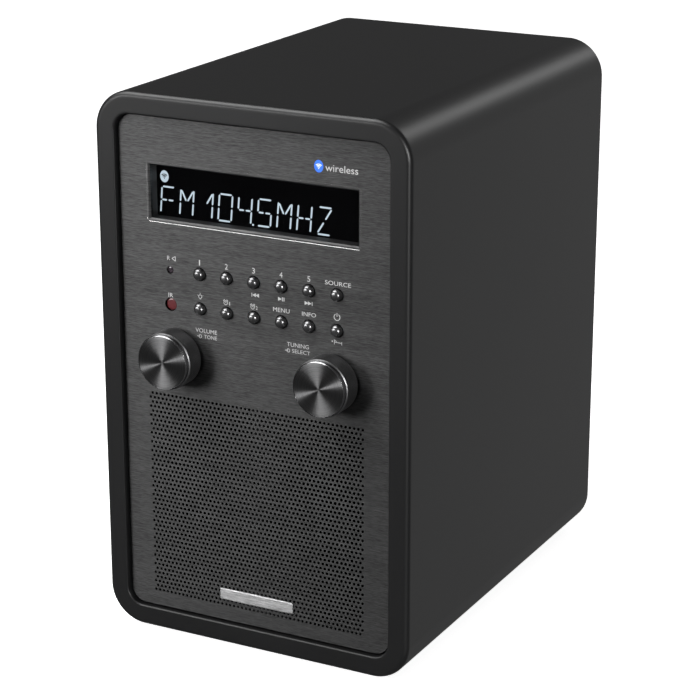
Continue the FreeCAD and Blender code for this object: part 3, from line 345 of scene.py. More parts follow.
moulding = {
    "darker": 0.82,
    "lighter": 1.18,
    "cloudShare": 0.03,
    "roughnessSwing": 0.1,
    "relief": 0.35,
}


def mouldedPlastic(name, tone, roughness, grain=1400.0, depth=0.05 * mm):
    finish = Finish(name)
    fine = finish.noise(grain, 4.0, 0.6)
    cloud = finish.noise(grain * moulding["cloudShare"], 3.0)
    swing = moulding["roughnessSwing"]
    dark, light = shades(tone, moulding["darker"], moulding["lighter"])
    return finish.feed(
        Base_Color=finish.blend(fine * 0.5 + cloud * 0.5, dark, light),
        Roughness=roughness - swing / 2 + fine * swing,
        Normal=finish.bump(fine, moulding["relief"], depth),
    )


metalwork = {
    "darker": 0.75,
    "lighter": 1.2,
    "roughnessSwing": 0.12,
    "relief": (0.3, 0.01 * mm),
}


def metal(name, tone, roughness, grain=(900, 900, 900)):
    finish = Finish(name, Metallic=1.0)
    mark = finish.noise(1.0, 4.0, 0.6, grain)
    swing = metalwork["roughnessSwing"]
    dark, light = shades(tone, metalwork["darker"], metalwork["lighter"])
    return finish.feed(
        Base_Color=finish.blend(mark, dark, light),
        Roughness=roughness - swing / 2 + mark * swing,
        Normal=finish.bump(mark, *metalwork["relief"]),
    )


cloth = {
    "threads": 2600.0,
    "sheen": 0.2,
    "roughness": (0.92, -0.1),
    "relief": (0.6, 0.1 * mm),
}


def wovenCloth(name, dark, light):
    finish = Finish(name, Sheen_Weight=cloth["sheen"])
    spot = finish.place((cloth["threads"],) * 3)
    x = finish.node("ShaderNodeSeparateXYZ", None, {"Vector": spot}, "X")
    z = finish.node("ShaderNodeSeparateXYZ", None, {"Vector": spot}, "Z")
    weave = x.math("SINE", x) * z.math("SINE", z) * 0.5 + 0.5
    return finish.feed(
        Base_Color=finish.blend(weave, dark, light),
        Roughness=weave.spread(*cloth["roughness"]),
        Normal=finish.bump(weave, *cloth["relief"]),
    )


paper = {
    "dark": (0.018, 0.018, 0.018),
    "light": (0.05, 0.05, 0.05),
    "pulp": 700.0,
    "roughness": (0.85, 0.1),
    "relief": (0.5, 0.2 * mm),
}


def pressedPaper():
    finish = Finish("pressedPaper")
    pulp = finish.noise(paper["pulp"], 5.0, 0.7)
    return finish.feed(
        Base_Color=finish.blend(pulp, paper["dark"], paper["light"]),
        Roughness=pulp.spread(*paper["roughness"]),
        Normal=finish.bump(pulp, *paper["relief"]),
    )


wood = {
    "dark": (0.30, 0.18, 0.08),
    "light": (0.62, 0.45, 0.27),
    "grain": (500, 60, 500),
    "roughness": (0.75, 0.15),
    "relief": (0.4, 0.2 * mm),
}


def sawnWood():
    finish = Finish("sawnWood")
    grain = finish.noise(1.0, 6.0, 0.65, wood["grain"])
    return finish.feed(
        Base_Color=finish.blend(grain, wood["dark"], wood["light"]),
        Roughness=grain.spread(*wood["roughness"]),
        Normal=finish.bump(grain, *wood["relief"]),
    )


board = {
    "track": (0.05, 0.22, 0.10),
    "ground": (0.012, 0.09, 0.035),
    "tracks": (260, 260, 260),
    "trackHalf": 0.04,
    "coat": 0.4,
    "coatRoughness": 0.2,
    "roughness": (0.42, -0.1),
    "relief": (0.2, 0.03 * mm),
}


def circuitBoard():
    finish = Finish("solderResist", Coat_Weight=board["coat"], Coat_Roughness=board["coatRoughness"])
    track = finish.noise(1.0, 2.0, 0.4, board["tracks"])
    lines = ((track - 0.5).absolute() > board["trackHalf"]) * 1.0
    return finish.feed(
        Base_Color=finish.blend(lines, board["track"], board["ground"]),
        Roughness=lines.spread(*board["roughness"]),
        Normal=finish.bump(lines, *board["relief"]),
    )


lensFinish = {
    "dark": (0.004, 0.004, 0.005),
    "light": (0.010, 0.010, 0.012),
    "alpha": 0.14,
    "refraction": 1.49,
    "film": 60.0,
    "roughness": (0.05, 0.05),
}


def smokedLens():
    finish = Finish("smokedLens", Alpha=lensFinish["alpha"], IOR=lensFinish["refraction"])
    film = finish.noise(lensFinish["film"], 2.0)
    return finish.feed(
        Base_Color=finish.blend(film, lensFinish["dark"], lensFinish["light"]),
        Roughness=film.spread(*lensFinish["roughness"]),
    )


glassFinish = {
    "dark": (0.0008, 0.0008, 0.001),
    "light": (0.0018, 0.0018, 0.0022),
    "refraction": 1.5,
    "film": 80.0,
    "roughness": (0.22, 0.06),
}


def displayBlack():
    finish = Finish("displayBlack", IOR=glassFinish["refraction"])
    film = finish.noise(glassFinish["film"], 3.0)
    return finish.feed(
        Base_Color=finish.blend(film, glassFinish["dark"], glassFinish["light"]),
        Roughness=film.spread(*glassFinish["roughness"]),
    )


glowFinish = {
    "unlit": (0.02, 0.02, 0.02, 1),
    "dim": (0.50, 0.62, 0.72),
    "bright": (0.66, 0.80, 0.88),
    "uneven": 700.0,
    "roughness": 0.6,
}


def litSegment():
    uniform = {"Base_Color": glowFinish["unlit"], "Roughness": glowFinish["roughness"]}
    finish = Finish("litSegment", Emission_Strength=1.0, **uniform)
    uneven = finish.noise(glowFinish["uneven"], 2.0)
    return finish.feed(Emission_Color=finish.blend(uneven, glowFinish["dim"], glowFinish["bright"]))


inkFinish = {
    "darker": 0.86,
    "speck": 9000.0,
    "roughness": (0.5, 0.15),
    "relief": (0.2, 0.01 * mm),
}


def printedInk(name, tone):
    finish = Finish(name)
    speck = finish.noise(inkFinish["speck"], 3.0)
    dark, light = shades(tone, inkFinish["darker"], 1.0)
    return finish.feed(
        Base_Color=finish.blend(speck, dark, light),
        Roughness=speck.spread(*inkFinish["roughness"]),
        Normal=finish.bump(speck, *inkFinish["relief"]),
    )


tinted = {
    "coat": 0.8,
    "coatRoughness": 0.04,
    "depth": 500.0,
    "roughnessSwing": 0.06,
}


def tintedLens(name, dark, light, roughness=0.12):
    finish = Finish(name, Coat_Weight=tinted["coat"], Coat_Roughness=tinted["coatRoughness"])
    depth = finish.noise(tinted["depth"], 3.0)
    return finish.feed(
        Base_Color=finish.blend(depth, dark, light),
        Roughness=roughness + depth * tinted["roughnessSwing"],
    )


finishes = {
    "cabinet_paint": satinPaint(),
    "brushed_dark": brushedMetal("brushedPanel"),
    "spun_dark": spunMetal(),
    "silver_badge": brushedMetal("satinSilver", 6.5),
    "black_plastic": mouldedPlastic("matteBlackPlastic", (0.012, 0.012, 0.0125), 0.55),
    "knob_dark": knurledMetal(),
    "key_gloss": platedKey(),
    "clear_lens": smokedLens(),
    "display_dark": displayBlack(),
    "white_diffuser": mouldedPlastic("milkyPlastic", (0.7, 0.72, 0.75), 0.5),
    "lamp_lens": tintedLens("lampLens", (0.012, 0.010, 0.012), (0.030, 0.022, 0.028)),
    "infrared_red": tintedLens("infraredRed", (0.060, 0.006, 0.008), (0.105, 0.012, 0.015), 0.3),
    "board_green": circuitBoard(),
    "bright_steel": metal("zincSteel", (0.55, 0.56, 0.58), 0.32),
    "black_steel": metal("blackSteel", (0.05, 0.05, 0.052), 0.42),
    "brass_nickel": metal("nickelBrass", (0.62, 0.58, 0.48), 0.25),
    "raw_wood": sawnWood(),
    "cloth_black": wovenCloth("acousticCloth", (0.003, 0.003, 0.003), (0.010, 0.010, 0.010)),
    "cone_paper": pressedPaper(),
    "roll_rubber": mouldedPlastic("softRubber", (0.012, 0.012, 0.012), 0.6),
    "spider_cloth": wovenCloth("varnishedCotton", (0.30, 0.15, 0.05), (0.55, 0.32, 0.12)),
    "magnet_ferrite": mouldedPlastic("groundFerrite", (0.045, 0.045, 0.048), 0.7),
    "coil_copper": metal("enamelledCopper", (0.75, 0.32, 0.14), 0.3, (300, 7000, 300)),
    "foot_rubber": mouldedPlastic("footRubber", (0.018, 0.018, 0.018), 0.8, 900.0, 0.1 * mm),
}
slotOf = {part["node"]: part["material_slot"] for part in record["subparts"]}
for node, thing in frame["nodes"].items():
    for entry in thing.material_slots:
        entry.material = finishes[slotOf[node]]
print("finishes made:", len(finishes))


# mesh helpers
def dressed(mesh, finish):
    # an object in the scene made of a mesh and a finish
    mesh.materials.append(finish)
    thing = bpy.data.objects.new(mesh.name, mesh)
    scene.collection.objects.link(thing)
    return thing


def makePiece(name, shape, finish, body=cabinet, smooth=True, spot=None):
    # shape is (vertices, faces); with a spot, the piece's own +Z turns to the front of the radio
    mesh = bpy.data.meshes.new(name)
    mesh.from_pydata(shape[0], [], shape[1])
    mesh.validate()
    mesh.update()
    for face in mesh.polygons:
        face.use_smooth = smooth
    piece = dressed(mesh, finish)
    if smooth:
        piece.modifiers.new("evenNormals", "WEIGHTED_NORMAL").weight = 80
    if spot:
        piece.rotation_euler = (math.radians(90), 0, 0)
        piece.location = spot
    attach(piece, body)
    return piece


def roundedLoop(width, height, corner, steps):
    # points of a rectangle with round corners, anticlockwise seen from the front
    points = []
    centres = ((1, -1, -90), (1, 1, 0), (-1, 1, 90), (-1, -1, 180))
    for sideX, sideZ, start in centres:
        x = sideX * (width / 2 - corner)
        z = sideZ * (height / 2 - corner)
        for step in range(steps + 1):
            angle = math.radians(start + 90 * step / steps)
            points.append((x + corner * math.cos(angle), z + corner * math.sin(angle)))
    return points


def loopAt(middle, y, width, height, corner, steps):
    # the same rectangle, standing in the scene
    outline = roundedLoop(width, height, corner, steps)
    return [(x + middle.x, y, z + middle.z) for x, z in outline]


def stitched(loops, closed):
    # quads between neighbouring loops of equal length
    count = len(loops[0])
    vertices = [vertex for loop in loops for vertex in loop]
    faces = []
    pairs = len(loops) if closed else len(loops) - 1
    for row in range(pairs):
        below = row * count
        above = (row + 1) % len(loops) * count
        for column in range(count):
            right = (column + 1) % count
            faces.append((below + column, below + right, above + right, above + column))
    return vertices, faces


def softened(points, radius, steps=4, reachShare=0.45):
    # rounds the corners of an open outline
    result = [points[0]]
    for before, here, after in zip(points, points[1:], points[2:]):
        here = Vector(here)
        back = Vector(before) - here
        on = Vector(after) - here
        reach = min(radius, back.length * reachShare, on.length * reachShare)
        start = here + back.normalized() * reach
        end = here + on.normalized() * reach
        for step in range(steps + 1):
            t = step / steps
            result.append(tuple(start * (1 - t) ** 2 + here * 2 * t * (1 - t) + end * t * t))
    result.append(points[-1])
    return result


def turnedMesh(outline, segments, onAxis=1e-7):
    # outline is (radius, height) from back to front, and closes where the radius is 0
    vertices = []
    rows = []
    for radius, height in outline:
        if radius < onAxis:
            rows.append([len(vertices)])
            vertices.append((0, 0, height))
            continue
        rows.append(list(range(len(vertices), len(vertices) + segments)))
        for step in range(segments):
            angle = 2 * math.pi * step / segments
            vertices.append((radius * math.cos(angle), radius * math.sin(angle), height))
    faces = []
    for low, high in zip(rows, rows[1:]):
        for step in range(segments):
            following = (step + 1) % segments
            if len(low) == 1:
                faces.append((low[0], high[following], high[step]))
            elif len(high) == 1:
                faces.append((low[step], low[following], high[0]))
            else:
                faces.append((low[step], low[following], high[following], high[step]))
    return vertices, faces


def turnedPiece(name, outline, finish, spot, body=cabinet, segments=64, stands=()):
    piece = makePiece(name, turnedMesh(outline, segments), finish, body, True, spot)
    if stands:
        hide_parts(*stands)
    return piece


# the cabinet: a tube with round corners and soft rims
tube = {
    "corner": 13.5 * mm,
    "leastCorner": 0.2 * mm,
    "wall": 7.5 * mm,
    "frontRound": 1.8 * mm,
    "innerRound": 0.5 * mm,
    "rearRound": 1.2 * mm,
    "outerHold": 1.4,
    "innerHold": 2.0,
    "cornerSteps": 20,
    "roundSteps": 8,
}


def bend(inset, y, radius, start, steps):
    # quarter circle about (inset, y); its angle is 0 on the outside and 90 degrees at the front
    turns = [math.radians(start + 90 * step / steps) for step in range(steps + 1)]
    return [(inset - radius * math.cos(turn), y - radius * math.sin(turn)) for turn in turns]


def makeCabinet():
    size = sizeOf("cabinet")
    steps = tube["roundSteps"]
    front = tube["frontRound"]
    inner = tube["innerRound"]
    rear = tube["rearRound"]
    wall = tube["wall"]
    deep = size.y
    frontHold = front * tube["outerHold"]
    rearHold = rear * tube["outerHold"]
    innerHold = inner * tube["innerHold"]
    section = bend(front, front, front, 0, steps)
    section += [(frontHold, 0), (wall - innerHold, 0)]
    section += bend(wall - inner, inner, inner, 90, steps // 2)
    section += [(wall, innerHold), (wall, deep - innerHold)]
    section += bend(wall - inner, deep - inner, inner, 180, steps // 2)
    section += [(wall - innerHold, deep), (rearHold, deep)]
    section += bend(rear, deep - rear, rear, 270, steps)
    section += [(0, deep - rearHold), (0, frontHold)]
    loops = []
    for inset, y in section:
        corner = max(tube["corner"] - inset, tube["leastCorner"])
        width = size.x - 2 * inset
        height = size.z - 2 * inset
        loops.append(loopAt(cabinetMiddle, rimY + y, width, height, corner, tube["cornerSteps"]))
    shell = makePiece("cabinetShell", stitched(loops, True), finishes["cabinet_paint"])
    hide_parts("cabinet")


makeCabinet()
print("cabinet made")


# knobs: a diamond knurl, a dark groove, a polished ring and a spun face
knob = {
    "segments": 96,
    "knurls": 104,
    "knurlPitch": 0.85 * mm,
    "knurlDepth": 0.16 * mm,
    "knurlStart": 0.5 * mm,
    "knurlEnd": 7.1 * mm,
    "knurlMargin": 0.2 * mm,
    "backShare": 0.3,
    "groove": 0.55 * mm,
    "grooveInset": 0.5 * mm,
    "ringSoft": 0.12 * mm,
    "faceSet": 0.06 * mm,
    "faceLap": 0.02 * mm,
    "faceEdge": 0.3 * mm,
    "faceDish": 0.12 * mm,
    "faceRings": 8,
    # mm inwards from the skirt, then mm up from the back, up from the groove or down from the front
    "skirtBack": ((0.45, 0), (0.12, 0.3)),
    "ringBack": ((0.5, 0), (0.45, 0), (0.35, 0.3)),
    "ringFront": ((0.35, 0.45), (0.73, 0.02), (0.81, 0.02), (0.85, 0.25)),
}


def knurledSkirt(name, radius, spot, body, node):
    # four samples to each knurl both ways, so that crests and valleys land on points
    around = knob["knurls"] * 4
    rise = knob["knurlPitch"] / 4
    rows = int(round((knob["knurlEnd"] - knob["knurlStart"]) / rise))
    outline = [[(radius * knob["backShare"], 0)] * around]
    for inset, height in knob["skirtBack"]:
        outline.append([(radius - inset * mm, height * mm)] * around)
    for row in range(rows + 1):
        height = knob["knurlStart"] + row * rise
        edge = min(row, rows - row, 2) / 2
        ring = []
        for step in range(around):
            rising = abs((step + row) % 4 / 2 - 1)
            falling = abs((step - row) % 4 / 2 - 1)
            depth = knob["knurlDepth"] * (1 - edge + edge * max(rising, falling))
            ring.append((radius - depth, height))
        outline.append(ring)
    grooveStart = knob["knurlEnd"] + knob["knurlMargin"]
    for height in (grooveStart, grooveStart + knob["groove"]):
        outline.append([(radius - knob["grooveInset"], height)] * around)
    loops = []
    for ring in outline:
        loop = []
        for step, (ringRadius, height) in enumerate(ring):
            angle = 2 * math.pi * step / around
            loop.append((ringRadius * math.cos(angle), ringRadius * math.sin(angle), height))
        loops.append(loop)
    piece = makePiece(name, stitched(loops, False), finishes["knob_dark"], body, False, spot)
    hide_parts(node)


def makeKnob(name):
    node = name + "_knob"
    middle = middleOf(node)
    size = sizeOf(node)
    radius = size.x / 2
    deep = size.y
    spot = (middle.x, middle.y + deep / 2, middle.z)
    word = name + "Knob"
    segments = knob["segments"]
    knurledSkirt(word + "Skirt", radius, spot, node, node)
    start = knob["knurlEnd"] + knob["knurlMargin"] + knob["groove"]
    ring = [(radius - inset * mm, start + rise * mm) for inset, rise in knob["ringBack"]]
    ring += [(radius - inset * mm, deep - fall * mm) for inset, fall in knob["ringFront"]]
    outline = softened(ring, knob["ringSoft"], 3)
    polished = turnedPiece(word + "Ring", outline, polishedRing, spot, node, segments)
    faceRadius = sizeOf(node + "_face").x / 2
    top = deep - knob["faceSet"]
    face = [(faceRadius + knob["faceLap"], top - knob["faceEdge"]), (faceRadius, top)]
    for step in range(1, knob["faceRings"] + 1):
        share = 1 - step / knob["faceRings"]
        face.append((faceRadius * share, top - knob["faceDish"] * (1 - share ** 2)))
    spunFace = finishes["spun_dark"]
    disc = turnedPiece(word + "Face", face, spunFace, spot, node, segments, (node + "_face",))


polishedRing = metal("polishedRing", (0.24, 0.24, 0.245), 0.22, (4000, 4000, 9000))
for knobName in ("volume", "tuning"):
    makeKnob(knobName)
print("knobs made")


# keys: plated domes, each in its own dark hole
key = {
    "segments": 40,
    "radius": 2.1 * mm,
    "behind": 1.4 * mm,
    "sideShare": 0.11,
    "shoulder": 0.1375,
    "flatness": 0.72,
    "steps": 12,
    "shankLength": 5 * mm,
    "shankShare": 0.6,
    "flangeShare": 1.4,
    "flangeBack": 1.6 * mm,
    "flangeFront": 1.45 * mm,
}


def domeOutline(radius, proud):
    outline = [(radius, -key["behind"]), (radius, proud * key["sideShare"])]
    low = proud * key["shoulder"]
    for step in range(1, key["steps"] + 1):
        angle = math.pi / 2 * step / key["steps"]
        across = radius * math.cos(angle) ** key["flatness"] if step < key["steps"] else 0
        outline.append((across, low + (proud - low) * math.sin(angle)))
    return outline


def shankOutline(radius, proud):
    rear = -(proud + key["shankLength"])
    thin = radius * key["shankShare"]
    flange = radius * key["flangeShare"]
    back = -key["flangeBack"]
    return [(0, rear), (thin, rear), (thin, back), (flange, back), (flange, -key["flangeFront"])]


keyNodes = sorted(node for node in frame["nodes"] if node.startswith("button_"))
for node in keyNodes:
    middle = middleOf(node)
    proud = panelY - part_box(node)[0][1]
    outline = shankOutline(key["radius"], proud) + domeOutline(key["radius"], proud)
    word = "key" + node[len("button_"):].replace("_", "").capitalize()
    spot = (middle.x, panelY, middle.z)
    cap = turnedPiece(word, outline, finishes["key_gloss"], spot, node, key["segments"], (node,))
print("keys made:", len(keyNodes))


# flat printing, gathered as faces and given the thickness of ink
ink = {"thickness": 0.012 * mm, "lift": 0.004 * mm, "merge": 0.002 * mm, "sliver": 0.001 * mm}


class Printing:
    def __init__(self):
        self.faces = bmesh.new()

    def polygon(self, points):
        self.faces.faces.new([self.faces.verts.new((x, 0, z)) for x, z in points])

    def bar(self, start, end, width):
        start = Vector(start)
        end = Vector(end)
        along = (end - start).normalized()
        side = Vector((-along.y, along.x)) * width / 2
        self.polygon([start - side, end - side, end + side, start + side])

    def disc(self, x, z, radius, stretch=1.0, steps=28):
        turn = 2 * math.pi / steps
        spots = [(math.cos(turn * step), math.sin(turn * step)) for step in range(steps)]
        self.polygon([(x + radius * right, z + radius * stretch * up) for right, up in spots])

    def arc(self, x, z, radius, width, start, end, steps):
        inner = radius - width
        for step in range(steps):
            corners = []
            for share, reach in ((step, radius), (step + 1, radius), (step + 1, inner), (step, inner)):
                angle = math.radians(start + (end - start) * share / steps)
                corners.append((x + reach * math.cos(angle), z + reach * math.sin(angle)))
            self.polygon(corners)

    def text(self, words, x, z, height, width):
        # centred on (x, z) and fitted to a height and a width
        curve = bpy.data.curves.new("letters", "FONT")
        curve.body = words
        curve.resolution_u = 3
        letters = bpy.data.objects.new("letters", curve)
        scene.collection.objects.link(letters)
        bpy.context.view_layer.update()
        view = bpy.context.evaluated_depsgraph_get()
        flat = bpy.data.meshes.new_from_object(letters.evaluated_get(view))
        xs = [vertex.co.x for vertex in flat.vertices]
        ys = [vertex.co.y for vertex in flat.vertices]
        scaleX = width / (max(xs) - min(xs))
        scaleZ = height / (max(ys) - min(ys))
        middleX = (max(xs) + min(xs)) / 2
        middleY = (max(ys) + min(ys)) / 2
        corners = []
        for vertex in flat.vertices:
            spot = (x + (vertex.co.x - middleX) * scaleX, 0, z + (vertex.co.y - middleY) * scaleZ)
            corners.append(self.faces.verts.new(spot))
        for face in flat.polygons:
            self.faces.faces.new([corners[index] for index in face.vertices])
        bpy.data.objects.remove(letters)
        bpy.data.curves.remove(curve)
        bpy.data.meshes.remove(flat)

    def piece(self, name, y, finish, slot, rear=False, thickness=ink["thickness"]):
        faces = self.faces
        bmesh.ops.remove_doubles(faces, verts=faces.verts, dist=ink["merge"])
        bmesh.ops.dissolve_degenerate(faces, dist=ink["sliver"], edges=faces.edges)
        raised = bmesh.ops.extrude_face_region(faces, geom=faces.faces[:])
        moved = [item for item in raised["geom"] if isinstance(item, bmesh.types.BMVert)]
        bmesh.ops.translate(faces, verts=moved, vec=(0, -thickness, 0))
        if rear:
            bmesh.ops.rotate(faces, verts=faces.verts, matrix=Matrix.Rotation(math.pi, 3, "Z"))
        bmesh.ops.translate(faces, verts=faces.verts, vec=(0, y, 0))
        bmesh.ops.recalc_face_normals(faces, faces=faces.faces)
        mesh = bpy.data.meshes.new(name)
        faces.to_mesh(mesh)
        faces.free()
        printed = dressed(mesh, finish)
        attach(printed, cabinet)


def drop(distance):
    # height of a place so many mm below the top of the cabinet
    return cabinetTop - distance * mm


def rays(angles, rise, near, far, weight):
    bars = []
    for angle in angles:
        across = math.cos(math.radians(angle))
        up = math.sin(math.radians(angle))
        bars.append((across * near, rise + up * near, across * far, rise + up * far, weight))
    return bars


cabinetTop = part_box("cabinet")[1][2]
columns = [middleOf("button_" + number).x for number in "12345"] + [middleOf("button_source").x]
lampColumn = middleOf("status_lamp").x
# signs in shares of their size: a bar is (x, z, x, z, weight of line), a ring is
# (x, z, radius, weight of line, first angle, last angle, steps) and a dot is (x, z, radius)
signs = {
    "speaker": {
        "bars": ((-0.5, 0, 0.35, 0.5, 1), (0.35, 0.5, 0.35, -0.5, 1), (0.35, -0.5, -0.5, 0, 1)),
    },
    "alarm": {
        "ring": (0, 0, 0.5, 0.8, 0, 360, 18),
        "bars": (
            (-0.56, 0.38, -0.24, 0.68, 1),
            (0.24, 0.68, 0.56, 0.38, 1),
            (0, 0, 0, 0.3, 0.7),
            (0, 0, 0.2, 0, 0.7),
        ),
    },
    "bulb": {
        "ring": (0, 0.1, 0.42, 0.8, -60, 240, 18),
        "bars": [(-0.2, -0.36, 0.2, -0.36, 1)] + rays((20, 90, 160), 0.1, 0.55, 0.72, 0.7),
    },
    "power": {
        "ring": (0, 0, 0.5, 1, 120, 420, 22),
        "bars": ((0, 0.05, 0, 0.6, 1),),
    },
    "push": {
        "ring": (0, 0, 0.5, 0.8, 0, 360, 18),
        "bars": ((-0.95, 0, -0.1, 0, 1), (-0.4, 0.28, -0.1, 0, 0.8), (-0.4, -0.28, -0.1, 0, 0.8)),
    },
    "sleep": {
        "dot": (-1.15, 0.1, 0.16),
        "bars": (
            (-0.7, -0.45, -0.7, 0.5, 1),
            (-0.7, 0, 0.9, -0.05, 1),
            (-0.6, 0.4, -0.1, 0, 0.8),
            (0.9, -0.45, 0.9, 0.2, 1),
        ),
    },
}
legend = {
    "digit": 1.9 * mm,
    "word": 1.45 * mm,
    "small": 1.3 * mm,
    "tiny": 1.28 * mm,
    "line": 0.24 * mm,
    "digitDrop": 55.8,
    "digitWidth": 1.102,
    "oneWidth": 0.38,
    # words, place across, mm below the top, height, width in mm
    "words": (
        ("SOURCE", columns[5] + 0.4 * mm, 56.0, "word", 9.5),
        ("R", -32.4 * mm, 55.7, "word", 1.1),
        ("IR", lampColumn, 68.6, "word", 1.9),
        ("MENU", columns[3], 67.9, "word", 6.2),
        ("INFO", columns[4], 67.9, "word", 5.2),
        ("1", columns[1] + 1.02 * mm, 68.46, "tiny", 0.256),
        ("2", columns[2] + 1.02 * mm, 68.46, "tiny", 0.64),
        ("VOLUME", -18.2 * mm, 79.4, "word", 8.4),
        ("TONE", -16.6 * mm, 81.4, "small", 5.0),
        ("TUNING", 16.9 * mm, 79.2, "word", 8.2),
        ("SELECT", 18.1 * mm, 81.3, "small", 6.8),
    ),
    # sign, place across, mm below the top, size in mm
    "signs": (
        ("speaker", -30.3 * mm, 55.7, 1.6),
        ("bulb", columns[0], 67.7, 1.7),
        ("alarm", columns[1] - 0.5 * mm, 68.3, 1.6),
        ("alarm", columns[2] - 0.5 * mm, 68.3, 1.6),
        ("power", columns[5], 67.3, 2.4),
        ("sleep", columns[5] + 0.2 * mm, 75.9, 1.7),
        ("push", -20.6 * mm, 81.5, 1.3),
        ("push", 13.3 * mm, 81.4, 1.3),
    ),
    # skip and play marks: column, mm across from it, and the way or the weight of line
    "skipDrop": 64.1,
    "skipSize": 1.35 * mm,
    "skipTips": ((2, 0.1, -1), (2, 1.3, -1), (3, -0.5, 1), (4, -0.9, 1), (4, 0.3, 1)),
    "skipBars": ((2, -0.75, 1), (3, 0.45, 1.2), (3, 1.05, 1.2), (4, 1.2, 1)),
}


def triangle(sheet, x, z, size, way):
    tip = (x + way * size * 0.5, z)
    base = x - way * size * 0.5
    sheet.polygon([tip, (base, z + size * 0.5), (base, z - size * 0.5)][::way])


def drawSign(sheet, name, x, z, size):
    sign = signs[name]
    for x0, z0, x1, z1, weight in sign["bars"]:
        start = (x + size * x0, z + size * z0)
        sheet.bar(start, (x + size * x1, z + size * z1), legend["line"] * weight)
    if "ring" in sign:
        across, up, radius, weight, *span = sign["ring"]
        sheet.arc(x + size * across, z + size * up, size * radius, legend["line"] * weight, *span)
    if "dot" in sign:
        across, up, radius = sign["dot"]
        sheet.disc(x + size * across, z + size * up, size * radius)


def makeLegends():
    sheet = Printing()
    for label, x in zip("12345", columns):
        width = legend["oneWidth" if label == "1" else "digitWidth"]
        sheet.text(label, x, drop(legend["digitDrop"]), legend["digit"], width * mm)
    for words, x, below, height, width in legend["words"]:
        sheet.text(words, x, drop(below), legend[height], width * mm)
    for name, x, below, size in legend["signs"]:
        drawSign(sheet, name, x, drop(below), size * mm)
    size = legend["skipSize"]
    z = drop(legend["skipDrop"])
    for column, shift, way in legend["skipTips"]:
        triangle(sheet, columns[column] + shift * mm, z, size, way)
    for column, shift, weight in legend["skipBars"]:
        x = columns[column] + shift * mm
        sheet.bar((x, z - size / 2), (x, z + size / 2), legend["line"] * weight)
    sheet.piece("panelLegends", panelY - ink["lift"], legendInk, "white_diffuser")


legendInk = printedInk("paleLegendInk", (0.40, 0.40, 0.40))
makeLegends()

blueInk = printedInk("blueInk", (0.012, 0.13, 0.72))
whiteInk = printedInk("whiteInk", (0.8, 0.82, 0.84))
litInk = litSegment()
waves = {"dotDrop": 0.62, "dot": 0.16, "reaches": (0.62, 1.06, 1.5), "start": 45, "end": 135}
wireless = {
    "names": ("wirelessRoundel", "wirelessWaves"),
    "inks": (blueInk, whiteInk),
    "place": (25.0 * mm, 17.8),
    "disc": (1.65 * mm, 1.24, 40),
    "wavesDown": 0.1 * mm,
    "wavesSize": 1.05 * mm,
    "wavesLine": 0.24 * mm,
    "thickness": ink["thickness"],
    "word": (33.3 * mm, 17.9, 2.35 * mm, 11.8 * mm),
}
displayIcon = {
    "names": ("displayIconDisc", "displayIconWaves"),
    "inks": (litInk, finishes["display_dark"]),
    "place": (-36.7 * mm, 29.3),
    "disc": (1.65 * mm, 1.24, 36),
    "wavesDown": 0.05 * mm,
    "wavesSize": 1.1 * mm,
    "wavesLine": 0.3 * mm,
    "thickness": 0.02 * mm,
}


def makeRoundel(mark, y, slot):
    # three waves over a dot, printed on an upright oval
    x, below = mark["place"]
    z = drop(below)
    disc = Printing()
    disc.disc(x, z, *mark["disc"])
    disc.piece(mark["names"][0], y, mark["inks"][0], slot, thickness=mark["thickness"])
    size = mark["wavesSize"]
    z -= mark["wavesDown"] + size * waves["dotDrop"]
    sheet = Printing()
    sheet.disc(x, z, size * waves["dot"], 1.0, 12)
    for reach in waves["reaches"]:
        sheet.arc(x, z, size * reach, mark["wavesLine"], waves["start"], waves["end"], 8)
    sheet.piece(mark["names"][1], y - mark["thickness"], mark["inks"][1], slot)


makeRoundel(wireless, panelY - ink["lift"], "white_diffuser")
wirelessX, wirelessDrop, wirelessHeight, wirelessWidth = wireless["word"]
wirelessWord = Printing()
wirelessWord.text("wireless", wirelessX, drop(wirelessDrop), wirelessHeight, wirelessWidth)
wirelessWord.piece("wirelessWord", panelY - ink["lift"], legendInk, "white_diffuser")
print("legends made")


# the display: fourteen-segment cells behind the smoked lens
display = {
    "left": -38.8 * mm,
    "pitch": 7.46 * mm,
    "width": 5.6 * mm,
    "height": 9.7 * mm,
    "bottomDrop": 42.2,
    "stroke": 0.6 * mm,
    "gap": 0.24 * mm,
    "slantedGap": 0.528 * mm,
    "lean": 0.085,
    "lift": 0.02 * mm,
    "thickness": 0.02 * mm,
    "pointShift": 0.95 * mm,
    "pointRise": 0.33 * mm,
    "pointRadius": 0.36 * mm,
    "reading": ("F", "M", "1", "0", "4.", "5", "M", "H", "Z"),
}
segmentsOf = {
    "F": "afegu",
    "M": "fehjbc",
    "1": "jbc",
    "0": "abcdef",
    "4": "fgubc",
    "5": "afgucd",
    "H": "fegubc",
    "Z": "ajkd",
}
# ends of each segment as shares of the cell; the last three are the slanted ones
segmentEnds = {
    "a": ((0, 1), (1, 1)),
    "b": ((1, 0.5), (1, 1)),
    "c": ((1, 0), (1, 0.5)),
    "d": ((0, 0), (1, 0)),
    "e": ((0, 0), (0, 0.5)),
    "f": ((0, 0.5), (0, 1)),
    "g": ((0, 0.5), (0.5, 0.5)),
    "u": ((0.5, 0.5), (1, 0.5)),
    "h": ((0, 1), (0.5, 0.5)),
    "j": ((1, 1), (0.5, 0.5)),
    "k": ((0, 0), (0.5, 0.5)),
}
slanted = "hjk"


